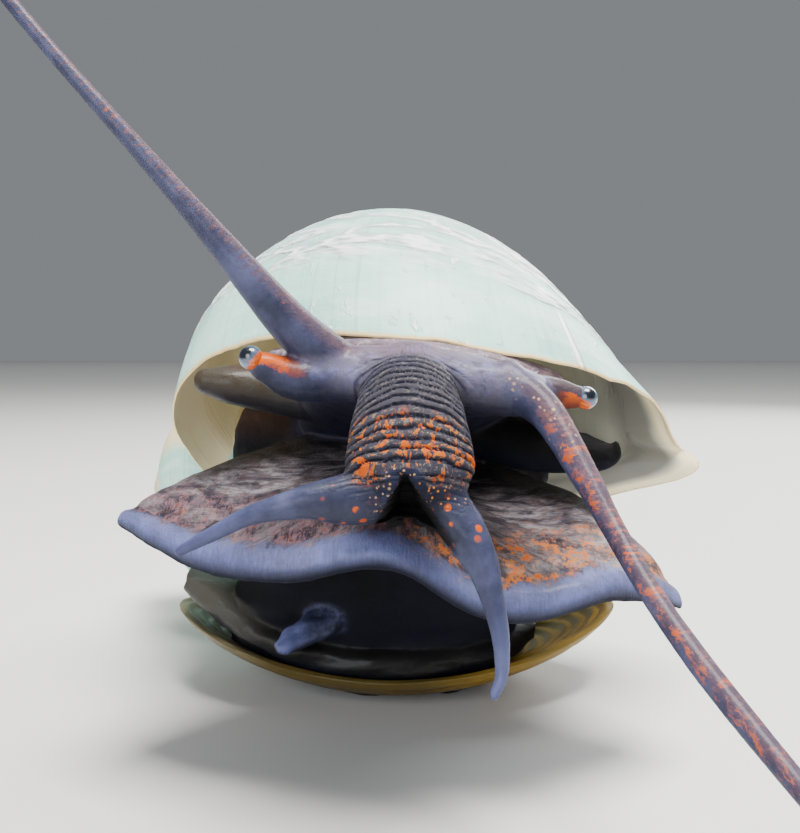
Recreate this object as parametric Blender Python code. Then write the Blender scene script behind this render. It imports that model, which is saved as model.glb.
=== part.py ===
"""Life-size still model of an apple snail that has half come out of its shell.

The animal faces -Y, +Z is up and the floor is Z = 0. Places are millimetres measured
from a point on the floor, and metres() turns them into metres with the origin at the
centre of the operculum's floor flat. Left and right in the names are the animal's own.
"""

import math

import bmesh
import bpy
import numpy as np
from mathutils import Vector

MM = 0.001
GAP = 0.3

# Shell: a tube whose section grows by one ratio in each turn about a leaning axis.
APEX = (-19.5, 14.7, 9.25)
APEX_AZIMUTH = math.radians(22.7)
APEX_DIP = math.radians(5.8)
LIP_ROLL = math.radians(72.3)
WHORL_RATIO = 2.59
SECTION_OUT = 8.8
SECTION_DOWN = 26.4
SECTION_HALF_WIDTH = 11.12
SECTION_HALF_HEIGHT = 14.81
SECTION_LEAN = -0.34
SECTION_TRIANGLE = (-0.027, 0.044)
LIP_FLARE = 0.64
LIP_FLARE_ANGLE = -2.34
LIP_FLARE_SPREAD = 0.39
LIP_FLARE_TURNS = 0.4
LIP_CROWN = 0.038
LIP_CROWN_ANGLE = 0.12
LIP_CROWN_SPREAD = 0.3
LIP_LEAD = (-3.56, -0.12, 1.21, -0.78)
AXIS_CLEARANCE = 1.0
LEAST_CLEARANCE = 0.15
WALL = 0.8
HOLLOW_TURNS = 0.62
OLD_TURNS = 3.6
RING_POINTS = 30
RINGS_PER_TURN = 20
OLD_RING_POINTS = 18
OLD_RINGS_PER_TURN = 12

# Operculum: an oval plate whose long ends rise from the floor.
OPERCULUM_HALF_LENGTH = 13.2
OPERCULUM_HALF_WIDTH = 6.4
OPERCULUM_THICKNESS = 0.8
OPERCULUM_CENTRE = (-0.2, -2.7, 0.15)
OPERCULUM_END_RISE = 4.7
OPERCULUM_FRONT_RISE = 1.9
OPERCULUM_STATIONS = 16

# Eyes.
EYE_RADIUS = 0.52
EYE_RIGHT = (-6.4, -18.25, 19.75)
EYE_LEFT = (8.3, -16.75, 17.95)

# Tubes of flesh: width direction, stations of (x, y, z, half width, half height), points round.
LOFTS = {
    "body": (
        (1, 0, 0),
        [
            (-0.5, 3.0, 15.5, 9.0, 6.0),
            (-0.5, -3.0, 14.0, 9.5, 5.0),
            (-1.0, -6.0, 8.2, 8.0, 3.3),
            (-1.7, -4.2, 3.0, 8.4, 3.1),
        ],
        20,
    ),
    "neck": (
        (1, 0, 0),
        [
            (0.4, -4.0, 15.6, 6.2, 3.2),
            (0.3, -9.0, 17.2, 5.8, 2.4),
            (0.4, -13.0, 18.1, 5.2, 1.55),
            (0.5, -16.0, 18.7, 4.4, 1.45),
        ],
        16,
    ),
    "head": (
        (0, 1, 0),
        [
            (-3.7, -16.7, 19.1, 1.2, 1.15),
            (-1.6, -16.5, 18.9, 1.75, 1.4),
            (0.7, -16.4, 18.75, 2.0, 1.5),
            (3.1, -16.5, 18.5, 1.75, 1.4),
            (5.6, -16.8, 18.15, 1.15, 1.05),
        ],
        16,
    ),
    "snout": (
        (1, 0, 0),
        [
            (0.5, -16.6, 19.0, 2.0, 1.5),
            (0.4, -18.4, 17.9, 2.2, 1.7),
            (0.4, -19.9, 16.6, 2.5, 1.8),
            (0.4, -20.7, 15.3, 2.65, 1.75),
            (0.4, -20.9, 14.7, 2.4, 1.5),
        ],
        16,
    ),
    "palp_right": (
        (0, 0, 1),
        [
            (-0.9, -20.9, 14.2, 1.2, 1.15),
            (-2.4, -21.4, 14.1, 1.0, 0.95),
            (-3.5, -21.7, 14.1, 0.73, 0.7),
            (-4.6, -21.8, 13.9, 0.55, 0.53),
            (-6.0, -21.6, 13.5, 0.4, 0.4),
            (-7.5, -21.1, 12.7, 0.32, 0.32),
            (-9.1, -20.4, 11.8, 0.22, 0.22),
        ],
        12,
    ),
    "palp_left": (
        (1, 0, 0),
        [
            (1.5, -20.9, 14.0, 1.2, 1.15),
            (2.5, -21.7, 12.9, 0.95, 0.9),
            (3.2, -22.2, 11.7, 0.68, 0.66),
            (3.6, -22.6, 10.4, 0.48, 0.48),
            (3.9, -22.9, 8.9, 0.36, 0.36),
            (3.9, -23.2, 7.6, 0.28, 0.28),
            (3.6, -23.5, 6.9, 0.22, 0.22),
        ],
        12,
    ),
    "tentacle_right": (
        (1, 0, 1),
        [
            (-2.7, -16.7, 19.3, 1.15, 1.1),
            (-4.9, -17.2, 21.3, 0.96, 0.92),
            (-8.1, -17.7, 25.1, 0.6, 0.6),
            (-11.3, -18.0, 28.8, 0.41, 0.41),
            (-14.3, -18.0, 32.2, 0.34, 0.34),
            (-16.9, -17.8, 35.3, 0.31, 0.31),
            (-19.0, -17.2, 38.0, 0.26, 0.26),
            (-20.9, -16.5, 41.0, 0.18, 0.18),
        ],
        12,
    ),
    "tentacle_left": (
        (1, 0, 1),
        [
            (4.7, -16.7, 18.6, 1.1, 1.05),
            (6.3, -18.0, 17.4, 0.8, 0.78),
            (7.5, -20.1, 15.1, 0.61, 0.61),
            (8.4, -22.2, 13.0, 0.47, 0.47),
            (9.3, -24.7, 11.0, 0.44, 0.44),
            (10.3, -27.1, 9.3, 0.45, 0.45),
            (11.3, -29.2, 7.9, 0.43, 0.43),
            (12.1, -31.5, 6.8, 0.37, 0.37),
            (12.4, -33.8, 6.3, 0.28, 0.28),
            (12.2, -36.0, 6.4, 0.18, 0.18),
        ],
        12,
    ),
    "eyestalk_right": (
        (0, 1, 0),
        [(-3.0, -16.8, 18.9, 1.05, 1.0), (-4.7, -17.3, 18.9, 0.86, 0.82), (-6.0, -18.0, 19.45, 0.7, 0.68)],
        14,
    ),
    "eyestalk_left": (
        (0, 1, 0),
        [(5.2, -16.4, 18.3, 0.9, 0.85), (6.8, -16.5, 18.15, 0.76, 0.74), (8.0, -16.6, 18.0, 0.62, 0.6)],
        14,
    ),
    "mantle_edge": (
        (0, 1, 0),
        [
            (-6.4, -9.3, 19.0, 0.9, 0.7),
            (-3.0, -11.0, 19.45, 1.3, 0.8),
            (0.6, -11.9, 19.5, 1.4, 0.8),
            (4.2, -11.9, 18.95, 1.3, 0.8),
            (7.4, -11.0, 18.05, 0.9, 0.7),
        ],
        14,
    ),
    "nuchal_lobe_right": (
        (0, 1, 0),
        [
            (-3.8, -9.8, 17.4, 1.6, 1.2),
            (-6.6, -10.4, 18.0, 1.4, 1.15),
            (-8.6, -10.9, 18.35, 1.2, 1.0),
            (-9.8, -11.1, 18.5, 0.8, 0.65),
        ],
        14,
    ),
    "siphon_left": (
        (0, 1, 0),
        [
            (4.2, -9.2, 15.8, 1.7, 1.4),
            (6.8, -10.5, 15.1, 1.4, 1.25),
            (9.0, -11.2, 14.9, 1.15, 1.05),
            (10.2, -11.5, 14.8, 0.8, 0.7),
        ],
        14,
    ),
    "foot_fold": (
        (1, 0, 0),
        [(-2.6, -6.4, 6.0, 1.1, 1.0), (-4.4, -8.8, 5.3, 0.8, 0.75), (-6.2, -10.3, 4.6, 0.6, 0.55)],
        12,
    ),
}

# Sheets of flesh: x, front y, front z, back y, back z, front half depth, back half depth.
SLABS = {
    "foot_front": [
        (-13.5, -14.3, 11.9, -13.3, 12.1, 0.3, 0.3),
        (-11.6, -15.8, 11.3, -10.6, 13.0, 0.8, 0.6),
        (-8.7, -17.5, 10.5, -8.2, 13.9, 1.15, 1.2),
        (-4.9, -18.9, 10.4, -6.6, 14.6, 1.2, 2.0),
        (-0.5, -19.3, 11.1, -6.0, 14.6, 1.2, 2.4),
        (3.3, -19.3, 9.0, -6.0, 13.6, 1.2, 2.4),
        (6.2, -18.8, 8.7, -6.6, 12.6, 1.2, 2.0),
        (9.4, -17.4, 9.2, -8.2, 11.8, 1.1, 1.2),
        (12.0, -15.6, 8.5, -10.8, 10.2, 0.7, 0.6),
        (13.7, -13.8, 7.6, -12.8, 8.2, 0.3, 0.3),
    ],
    "foot_hind": [
        (-12.6, -5.0, 6.6, -2.6, 6.6, 0.5, 0.5),
        (-10.4, -6.8, 5.6, -1.0, 5.2, 1.1, 1.1),
        (-6.0, -8.2, 3.5, 0.6, 3.0, 1.3, 1.3),
        (0.0, -8.6, 2.6, 1.2, 2.2, 1.4, 1.4),
        (4.4, -7.4, 2.8, 0.6, 2.6, 1.2, 1.2),
        (6.6, -6.0, 3.1, -0.6, 3.0, 0.9, 0.9),
        (8.0, -4.8, 3.6, -2.4, 3.6, 0.5, 0.5),
    ],
}

EYES = {"eye_right": EYE_RIGHT, "eye_left": EYE_LEFT}

# Flesh nodes in the order of growth, with what each one is cut clear of.
FLESH = {
    "body": ["operculum", "shell_gap"],
    "foot_hind": ["body", "operculum", "shell_gap"],
    "foot_front": ["body", "shell_gap"],
    "head": [],
    "neck": ["head", "body", "foot_front", "shell_gap"],
    "snout": ["head", "neck"],
    "eyestalk_right": ["head", "neck", "tentacle_right", "eye_right"],
    "eyestalk_left": ["head", "neck", "tentacle_left", "eye_left"],
    "mantle_edge": ["neck", "body", "shell_gap"],
    "nuchal_lobe_right": ["neck", "body", "mantle_edge", "shell_gap"],
    "siphon_left": ["neck", "body", "mantle_edge", "shell_gap"],
    "foot_fold": ["body", "foot_hind"],
}

# Long forms: number of lengths, and what the first one is cut clear of.
LENGTHS = {
    "tentacle_right": (4, ["head", "neck"]),
    "tentacle_left": (4, ["head", "neck"]),
    "palp_right": (2, ["snout"]),
    "palp_left": (2, ["snout", "palp_right"]),
}

# Mouth: a slit between two lips at the end of the snout.
MOUTH_TOP = (0.3, -22.35, 14.9)
MOUTH_BOTTOM = (0.4, -21.6, 13.3)
MOUTH_HALF_WIDTH = 0.22
MOUTH_HALF_DEPTH = 0.75
LIP_HALF_WIDTH = 0.42
LIP_STEP = 0.62
LIP_SET_BACK = 0.1

SKIN_COLOUR = (0.055, 0.05, 0.085, 1.0)


def metres(point):
    """The point in metres, from the centre of the operculum's floor flat."""
    return Vector((point[0] - OPERCULUM_CENTRE[0], point[1] - OPERCULUM_CENTRE[1], point[2])) * MM


def make_material(name, colour, roughness):
    material = bpy.data.materials.new(name)
    material.use_nodes = True
    shader = material.node_tree.nodes["Principled BSDF"]
    shader.inputs["Base Color"].default_value = colour
    shader.inputs["Roughness"].default_value = roughness
    shader.inputs["Metallic"].default_value = 0.0
    return material


def mesh_object(name, points, faces, material=None):
    """A closed mesh object from points in millimetres."""
    mesh = bpy.data.meshes.new(name)
    mesh.from_pydata([metres(point) for point in points], [], faces)
    form = bmesh.new()
    form.from_mesh(mesh)
    bmesh.ops.triangulate(form, faces=form.faces)
    bmesh.ops.recalc_face_normals(form, faces=form.faces)
    form.to_mesh(mesh)
    form.free()
    mesh.shade_smooth()
    result = bpy.data.objects.new(name, mesh)
    bpy.context.scene.collection.objects.link(result)
    if material:
        mesh.materials.append(material)
    return result


def tube_from_rings(name, rings, material=None):
    """Bridges rings of equal count and closes both ends with a fan."""
    count = len(rings[0])
    points = [tuple(point) for ring in rings for point in ring]
    faces = []
    for row in range(len(rings) - 1):
        for column in range(count):
            after = (column + 1) % count
            low, high = row * count, (row + 1) * count
            faces.append((low + column, low + after, high + after, high + column))
    for ring, start in ((rings[0], 0), (rings[-1], (len(rings) - 1) * count)):
        centre = np.mean(np.asarray(ring), axis=0)
        points.append(tuple(centre))
        hub = len(points) - 1
        for column in range(count):
            faces.append((start + column, start + (column + 1) % count, hub))
    return mesh_object(name, points, faces, material)


def discard(item):
    mesh = item.data
    bpy.data.objects.remove(item)
    bpy.data.meshes.remove(mesh)


def apply_boolean(body, operation, others, solver="EXACT"):
    """Applies one Boolean with several closed meshes, then removes them."""
    group = bpy.data.collections.new("operands")
    bpy.context.scene.collection.children.link(group)
    for other in others:
        group.objects.link(other)
    modifier = body.modifiers.new(operation, "BOOLEAN")
    modifier.operation = operation
    modifier.operand_type = "COLLECTION"
    modifier.collection = group
    modifier.solver = solver
    graph = bpy.context.evaluated_depsgraph_get()
    result = bpy.data.meshes.new_from_object(body.evaluated_get(graph))
    body.modifiers.clear()
    old = body.data
    body.data = result
    bpy.data.meshes.remove(old)
    bpy.data.collections.remove(group)
    for other in others:
        discard(other)
    keep_largest(body)


def keep_largest(body):
    """Keeps the closed surface with the most faces."""
    form = bmesh.new()
    form.from_mesh(body.data)
    bmesh.ops.triangulate(form, faces=form.faces)
    left = set(form.faces)
    best = []
    while left:
        seed = left.pop()
        island = [seed]
        for face in island:
            for edge in face.edges:
                for other in edge.link_faces:
                    if other in left:
                        left.discard(other)
                        island.append(other)
        if len(island) > len(best):
            best = island
    kept = set(best)
    bmesh.ops.delete(form, geom=[face for face in form.faces if face not in kept], context="FACES")
    form.to_mesh(body.data)
    form.free()
    body.data.shade_smooth()


def smooth_path(stations, steps):
    """Catmull-Rom values through rows of numbers, with `steps` rows in each span."""
    rows = np.asarray(stations, float)
    first = 2 * rows[0] - rows[1]
    last = 2 * rows[-1] - rows[-2]
    padded = np.vstack([first, rows, last])
    result = []
    for span in range(len(rows) - 1):
        a, b, c, d = padded[span : span + 4]
        for step in range(steps):
            s = step / steps
            cubic = (c - a) * s + (2 * a - 5 * b + 4 * c - d) * s**2 + (3 * b - a - 3 * c + d) * s**3
            result.append(b + 0.5 * cubic)
    result.append(rows[-1])
    return np.array(result)


def loft(name, stations, side, grow=0.0, steps=3, points=16, round_ends=(True, True), material=None):
    """A tube along stations of (x, y, z, half width, half height); `side` is its width direction."""
    path = smooth_path(stations, steps)
    centres = path[:, :3]
    tangents = np.gradient(centres, axis=0)
    tangents /= np.linalg.norm(tangents, axis=1)[:, None]
    side = np.asarray(side, float)
    rows = [(centre, tangent, row[3] + grow, row[4] + grow) for centre, tangent, row in zip(centres, tangents, path)]
    first = end_rows(rows[0], -1.0, grow, round_ends[0])
    last = end_rows(rows[-1], 1.0, grow, round_ends[1])
    rings = []
    for centre, tangent, half_width, half_height in first[::-1] + rows + last:
        across = side - tangent * np.dot(side, tangent)
        across /= np.linalg.norm(across)
        up = np.cross(tangent, across)
        angles = np.linspace(0, 2 * math.pi, points, endpoint=False)[:, None]
        rings.append(centre + across * half_width * np.cos(angles) + up * half_height * np.sin(angles))
    return tube_from_rings(name, rings, material)


def end_rows(row, sign, grow, is_round):
    """Extra rings that close an end as a dome, or push a flat end out by the growth."""
    centre, tangent, half_width, half_height = row
    if not is_round:
        return [(centre + tangent * sign * grow, tangent, half_width, half_height)] if grow else []
    reach = min(half_width, half_height)
    rows = []
    for angle in (0.6, 1.15):
        shift = tangent * sign * reach * math.sin(angle)
        rows.append((centre + shift, tangent, half_width * math.cos(angle), half_height * math.cos(angle)))
    return rows


def shell_axes():
    """Outer-lip, growth and apex directions of the shell."""
    apex = np.array(
        (
            -math.cos(APEX_AZIMUTH) * math.cos(APEX_DIP),
            math.sin(APEX_AZIMUTH) * math.cos(APEX_DIP),
            -math.sin(APEX_DIP),
        )
    )
    up = np.array((0.0, 0.0, 1.0)) - apex * apex[2]
    up /= np.linalg.norm(up)
    forward = np.cross(up, apex)
    outward = math.cos(LIP_ROLL) * up + math.sin(LIP_ROLL) * forward
    growth = -np.cross(apex, outward)
    return outward, growth, apex


def shell_ring(turn, inset, points=RING_POINTS):
    """One section of the shell's tube, `turn` turns after the lip, drawn in by `inset` millimetres."""
    outward, growth, apex = shell_axes()
    angles = np.linspace(0, 2 * math.pi, points, endpoint=False)
    scale = WHORL_RATIO**turn
    nearness = min(1.0, max(0.0, 1 + turn / LIP_FLARE_TURNS)) ** 2
    away = np.angle(np.exp(1j * (angles - LIP_FLARE_ANGLE))) / LIP_FLARE_SPREAD
    swell = 1 + SECTION_TRIANGLE[0] * np.sin(3 * angles) + SECTION_TRIANGLE[1] * np.cos(3 * angles)
    swell += nearness * LIP_FLARE * np.exp(-(away**2))
    aside = np.angle(np.exp(1j * (angles - LIP_CROWN_ANGLE))) / LIP_CROWN_SPREAD
    swell += nearness * LIP_CROWN * np.exp(-(aside**2))
    wide = np.cos(angles) * (swell * SECTION_HALF_WIDTH - inset / scale)
    high = np.sin(angles) * (swell * SECTION_HALF_HEIGHT - inset / scale)
    radial = wide * math.cos(SECTION_LEAN) - high * math.sin(SECTION_LEAN)
    axial = wide * math.sin(SECTION_LEAN) + high * math.cos(SECTION_LEAN)
    lead = LIP_LEAD[0] * np.cos(angles) + LIP_LEAD[1] * np.sin(angles)
    lead += LIP_LEAD[2] * np.cos(2 * angles) + LIP_LEAD[3] * np.sin(2 * angles)
    around = 2 * math.pi * turn
    direction = math.cos(around) * outward + math.sin(around) * growth
    tangent = math.cos(around) * growth - math.sin(around) * outward
    clearance = max(LEAST_CLEARANCE, AXIS_CLEARANCE + inset / scale)
    reach = SECTION_OUT + radial - clearance
    reach = clearance + 0.5 * (reach + np.hypot(reach, AXIS_CLEARANCE))
    return (
        np.array(APEX)
        + scale * reach[:, None] * direction
        + scale * (axial - SECTION_DOWN)[:, None] * apex
        + scale * lead[:, None] * tangent
    )


def shell_tube(name, start, end, inset, points=RING_POINTS, per_turn=RINGS_PER_TURN):
    steps = max(2, math.ceil((end - start) * per_turn))
    turns = [start + (end - start) * step / steps for step in range(steps + 1)]
    return tube_from_rings(name, [shell_ring(turn, inset, points) for turn in turns])


def shell_body(name, grow):
    """The whole shell, hollow behind the lip; `grow` thickens it all round for clearances."""
    body = shell_tube(name, -HOLLOW_TURNS, 0.0 + grow / 60.0, -grow)
    hollow = shell_tube("hollow", -HOLLOW_TURNS + 0.03, 0.02 + grow / 60.0, WALL + grow)
    apply_boolean(body, "DIFFERENCE", [hollow])
    older = []
    start = -HOLLOW_TURNS + 0.05
    while start > -OLD_TURNS:
        older.append(shell_tube("older", start - 0.42, start, -grow, OLD_RING_POINTS, OLD_RINGS_PER_TURN))
        start -= 0.4
    apply_boolean(body, "UNION", older)
    return body


def floor_block():
    """A block below the floor that trims what rests on it to a flat."""
    bpy.ops.mesh.primitive_cube_add(size=1.0, location=(0, 0, -0.01))
    block = bpy.context.object
    block.scale = (0.2, 0.2, 0.02)
    bpy.context.view_layer.update()
    block.data.transform(block.matrix_world)
    block.matrix_world.identity()
    return block


def build_shell():
    shell = shell_body("shell", 0.0)
    apply_boolean(shell, "DIFFERENCE", [floor_block()])
    shell.data.materials.append(make_material("shell", (0.62, 0.68, 0.60, 1.0), 0.3))
    return shell


def operculum(name, grow=0.0):
    """A curved oval plate, lowest near its middle."""
    rings = []
    for step in range(OPERCULUM_STATIONS + 1):
        s = -math.cos(math.pi * step / OPERCULUM_STATIONS)
        half = max(OPERCULUM_HALF_WIDTH * math.sqrt(max(0.0, 1 - s * s)), 0.25) + grow
        x = OPERCULUM_CENTRE[0] + s * (OPERCULUM_HALF_LENGTH + grow)
        base = OPERCULUM_CENTRE[2] + OPERCULUM_END_RISE * s * s
        ring = []
        for across, side in plate_outline():
            y = OPERCULUM_CENTRE[1] - half * across
            rise = OPERCULUM_FRONT_RISE * (half * across / OPERCULUM_HALF_WIDTH) ** 2
            ring.append((x, y, base + rise + side * (OPERCULUM_THICKNESS / 2 + grow)))
        rings.append(ring)
    return tube_from_rings(name, rings)


def plate_outline():
    """Section of a thin plate with round edges, as (across, side) from -1 to 1."""
    top = [(math.cos(math.pi * k / 8), min(1.0, 3.0 * math.sin(math.pi * k / 8))) for k in range(9)]
    under = [(-across, -side) for across, side in top[1:-1]]
    return top + under


def slab(name, stations, grow=0.0, points=20, steps=3):
    """A sheet of flesh across X; rows are x, front y, front z, back y, back z, front and back half depth."""
    rings = []
    for x, front_y, front_z, back_y, back_z, front_half, back_half in smooth_path(stations, steps):
        front = np.array((x, front_y, front_z))
        back = np.array((x, back_y, back_z))
        run = front - back
        length = np.linalg.norm(run)
        run /= length
        normal = np.cross((1.0, 0.0, 0.0), run)
        normal /= np.linalg.norm(normal)
        ring = []
        for k in range(points):
            angle = 2 * math.pi * k / points
            along = math.copysign(abs(math.cos(angle)) ** 0.75, math.cos(angle))
            half = back_half + (front_half - back_half) * (along + 1) / 2 + grow
            height = math.copysign(abs(math.sin(angle)) ** 0.75, math.sin(angle)) * half
            ring.append((front + back) / 2 + run * along * (length / 2 + grow) + normal * height)
        rings.append(ring)
    if grow:
        rings[0] = [point - np.array((grow, 0, 0)) for point in rings[0]]
        rings[-1] = [point + np.array((grow, 0, 0)) for point in rings[-1]]
    return tube_from_rings(name, rings)


def snout_form(name, grow):
    """The snout's tube with a lip on each side of the mouth."""
    side, stations, points = LOFTS["snout"]
    body = loft(name, stations, side, grow, points=points)
    lips = []
    for sign in (-1, 1):
        rows = []
        for part_way in (0.0, 0.5, 1.0):
            x, y, z = np.array(MOUTH_TOP) * (1 - part_way) + np.array(MOUTH_BOTTOM) * part_way
            bow = LIP_STEP * (0.8 + 0.2 * math.sin(math.pi * part_way))
            rows.append((x + sign * bow, y + LIP_SET_BACK, z, LIP_HALF_WIDTH, LIP_HALF_WIDTH))
        lips.append(loft("lip", rows, (1, 0, 0), grow, steps=1, points=10))
    apply_boolean(body, "UNION", lips)
    return body


def mouth_slit():
    rows = [(*place, MOUTH_HALF_WIDTH, MOUTH_HALF_DEPTH) for place in (MOUTH_TOP, MOUTH_BOTTOM)]
    return loft("slit", rows, (1, 0, 0), steps=1, points=10)


def ball(name, centre, radius):
    bpy.ops.mesh.primitive_uv_sphere_add(segments=14, ring_count=8, radius=radius * MM, location=metres(centre))
    result = bpy.context.object
    result.name = name
    bpy.context.view_layer.update()
    result.data.transform(result.matrix_world)
    result.matrix_world.identity()
    result.data.shade_smooth()
    return result


def plain_form(name, grow=0.0):
    """The uncut form of one named sub-part, `grow` millimetres fatter all round."""
    if name == "snout":
        return snout_form(name, grow)
    if name in LOFTS:
        side, stations, points = LOFTS[name]
        return loft(name, stations, side, grow, points=points)
    if name in SLABS:
        return slab(name, SLABS[name], grow)
    if name in EYES:
        return ball(name, EYES[name], EYE_RADIUS + grow)
    if name == "operculum":
        return operculum(name, grow)
    return shell_body(name, grow)


def build_part(name, clear_of, material):
    """One flesh node, cut back by the gap from what it meets."""
    body = plain_form(name)
    for other in clear_of:
        solver = "MANIFOLD" if other == "shell_gap" else "EXACT"
        apply_boolean(body, "DIFFERENCE", [plain_form(other, GAP)], solver)
    apply_boolean(body, "DIFFERENCE", [floor_block()])
    if name == "snout":
        apply_boolean(body, "DIFFERENCE", [mouth_slit()])
    body.data.materials.clear()
    body.data.materials.append(material)
    return body


def cut_lengths(name, count, clear_of, material):
    """Parts one tapering form into `count` lengths that face each other across the gap."""
    side, stations, points = LOFTS[name]
    path = smooth_path(stations, 3)
    per = (len(path) - 1) // count
    for index in range(count):
        first = index * per
        last = len(path) - 1 if index == count - 1 else (index + 1) * per
        rows = [list(row) for row in path[first : last + 1]]
        if index:
            rows[0][:3] = pulled(rows[0], rows[1])
        if index < count - 1:
            rows[-1][:3] = pulled(rows[-1], rows[-2])
        ends = (index == 0, index == count - 1)
        node = loft(f"{name}_{index + 1}", rows, side, steps=1, points=points, round_ends=ends)
        for other in clear_of if index == 0 else []:
            apply_boolean(node, "DIFFERENCE", [plain_form(other, GAP)])
        node.data.materials.clear()
        node.data.materials.append(material)


def pulled(end, inner):
    """The end's place, moved half the gap toward the inner station."""
    end_place = np.array(end[:3])
    run = np.array(inner[:3]) - end_place
    return end_place + run / np.linalg.norm(run) * GAP / 2


def main():
    for item in list(bpy.data.objects):
        bpy.data.objects.remove(item)
    build_shell()
    horn = make_material("horn", (0.45, 0.30, 0.05, 1.0), 0.35)
    skin = make_material("skin", SKIN_COLOUR, 0.4)
    eye = make_material("eye", (0.35, 0.42, 0.5, 1.0), 0.1)
    build_part("operculum", ["shell_gap"], horn)
    for name, clear_of in FLESH.items():
        build_part(name, clear_of, skin)
    for name in EYES:
        build_part(name, [], eye)
    for name, (count, clear_of) in LENGTHS.items():
        cut_lengths(name, count, clear_of, skin)


main()
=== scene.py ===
import math

import bmesh
import bpy
import numpy as np
from mathutils import Matrix, Vector, noise


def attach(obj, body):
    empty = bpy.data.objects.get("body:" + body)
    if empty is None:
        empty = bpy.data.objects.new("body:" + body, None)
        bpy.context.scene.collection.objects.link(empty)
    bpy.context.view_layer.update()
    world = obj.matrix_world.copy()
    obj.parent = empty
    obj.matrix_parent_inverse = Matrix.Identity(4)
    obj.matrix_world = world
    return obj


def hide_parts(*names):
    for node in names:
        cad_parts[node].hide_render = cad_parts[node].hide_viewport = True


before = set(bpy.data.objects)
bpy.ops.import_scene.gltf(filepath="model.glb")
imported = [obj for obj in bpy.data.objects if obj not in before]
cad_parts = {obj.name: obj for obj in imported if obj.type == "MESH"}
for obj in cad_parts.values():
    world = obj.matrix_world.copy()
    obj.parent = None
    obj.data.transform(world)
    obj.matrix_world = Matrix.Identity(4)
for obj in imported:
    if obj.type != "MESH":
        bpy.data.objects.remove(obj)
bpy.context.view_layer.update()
milli = 0.001
restPoint = (-0.2, -2.7)  # centre of the operculum's flat, in the millimetres used below
fullTurn = 2 * math.pi


class Wire:
    # one socket of a node tree, so that maths reads as plain expressions
    def __init__(self, bench, socket):
        self.bench = bench
        self.socket = socket

    def maths(self, operation, *others):
        return self.bench.maths(operation, self, *others)

    def __add__(self, other):
        return self.maths("ADD", other)

    def __radd__(self, other):
        return self.maths("ADD", other)

    def __sub__(self, other):
        return self.maths("SUBTRACT", other)

    def __rsub__(self, other):
        return self.bench.maths("SUBTRACT", other, self)

    def __mul__(self, other):
        return self.maths("MULTIPLY", other)

    def __rmul__(self, other):
        return self.maths("MULTIPLY", other)

    def __truediv__(self, other):
        return self.maths("DIVIDE", other)

    def __rtruediv__(self, other):
        return self.bench.maths("DIVIDE", other, self)

    def __pow__(self, other):
        return self.maths("POWER", other)

    def band(self, low, high):
        # 0 at low, 1 at high, smooth between
        values = {0: self, 1: low, 2: high, 3: 0.0, 4: 1.0}
        return self.bench.add("ShaderNodeMapRange", {"interpolation_type": "SMOOTHSTEP"}, values)


class Bench:
    # a node tree with its table of shades, and one method that adds any node to it
    def __init__(self, tree, shades=None):
        self.tree = tree
        self.shades = shades

    def add(self, kind, settings=None, inputs=None, output=0):
        node = self.tree.nodes.new(kind)
        for name, value in (settings or {}).items():
            setattr(node, name, value)
        for name, value in (inputs or {}).items():
            if isinstance(value, Wire):
                self.tree.links.new(value.socket, node.inputs[name])
            else:
                node.inputs[name].default_value = value
        return Wire(self, node.outputs[output])

    def maths(self, operation, *values):
        return self.add("ShaderNodeMath", {"operation": operation}, dict(enumerate(values)))

    def mix(self, factor, first, second):
        # each of the two is a wire or the name of a shade
        first, second = (
            shade if isinstance(shade, Wire) else (*self.shades[shade], 1.0) for shade in (first, second)
        )
        return self.add("ShaderNodeMix", {"data_type": "RGBA"}, {0: factor, 6: first, 7: second}, 2)

    def layers(self, colour, *coats):
        # each coat is a factor and a shade, laid over what is there
        for factor, shade in coats:
            colour = self.mix(factor, colour, shade)
        return colour

    def attribute(self, name):
        return self.add("ShaderNodeAttribute", {"attribute_name": name}, None, "Fac")

    def noise(self, scale, detail=3.0, rough=0.5, vector=None, distortion=0.0):
        values = {"Scale": scale, "Detail": detail, "Roughness": rough, "Distortion": distortion}
        values["Vector"] = vector or self.place()
        return self.add("ShaderNodeTexNoise", None, values)

    def web(self, spot, detail, rough, distortion=0.0):
        # noise at a spot of three wires or numbers
        return self.noise(1.0, detail, rough, self.vector(*spot), distortion)

    def dots(self, scale, ragged, low, high):
        # small round dots with uneven edges
        values = {"Vector": self.place(), "Scale": scale, "Randomness": 1.0}
        distance = self.add("ShaderNodeTexVoronoi", None, values, "Distance")
        return 1.0 - (distance + ragged).band(low, high)

    def place(self):
        return self.add("ShaderNodeTexCoord", None, None, "Object")

    def vector(self, x, y, z):
        return self.add("ShaderNodeCombineXYZ", None, {0: x, 1: y, 2: z})

    def stretched(self, factors):
        return self.add("ShaderNodeMapping", None, {"Vector": self.place(), "Scale": factors})


def newMaterial(name, fixed, shades):
    # a Principled material; fixed holds the numbers that are the same all over
    material = bpy.data.materials.new(name)
    material.use_nodes = True
    shader = material.node_tree.nodes["Principled BSDF"]
    for socket, value in fixed.items():
        shader.inputs[socket].default_value = value
    return material, Bench(material.node_tree, shades), shader


def feed(bench, shader, sockets, height=None, bumpDistance=0.0001, bumpStrength=0.5):
    if height is not None:
        values = {"Height": height, "Distance": bumpDistance, "Strength": bumpStrength}
        sockets = {**sockets, "Normal": bench.add("ShaderNodeBump", None, values)}
    for name, wire in sockets.items():
        bench.tree.links.new(wire.socket, shader.inputs[name])


def meshPiece(name, points, faces):
    mesh = bpy.data.meshes.new(name)
    mesh.from_pydata([tuple(point) for point in points], [], [tuple(face) for face in faces])
    mesh.shade_smooth()
    piece = bpy.data.objects.new(name, mesh)
    bpy.context.scene.collection.objects.link(piece)
    return piece


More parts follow.
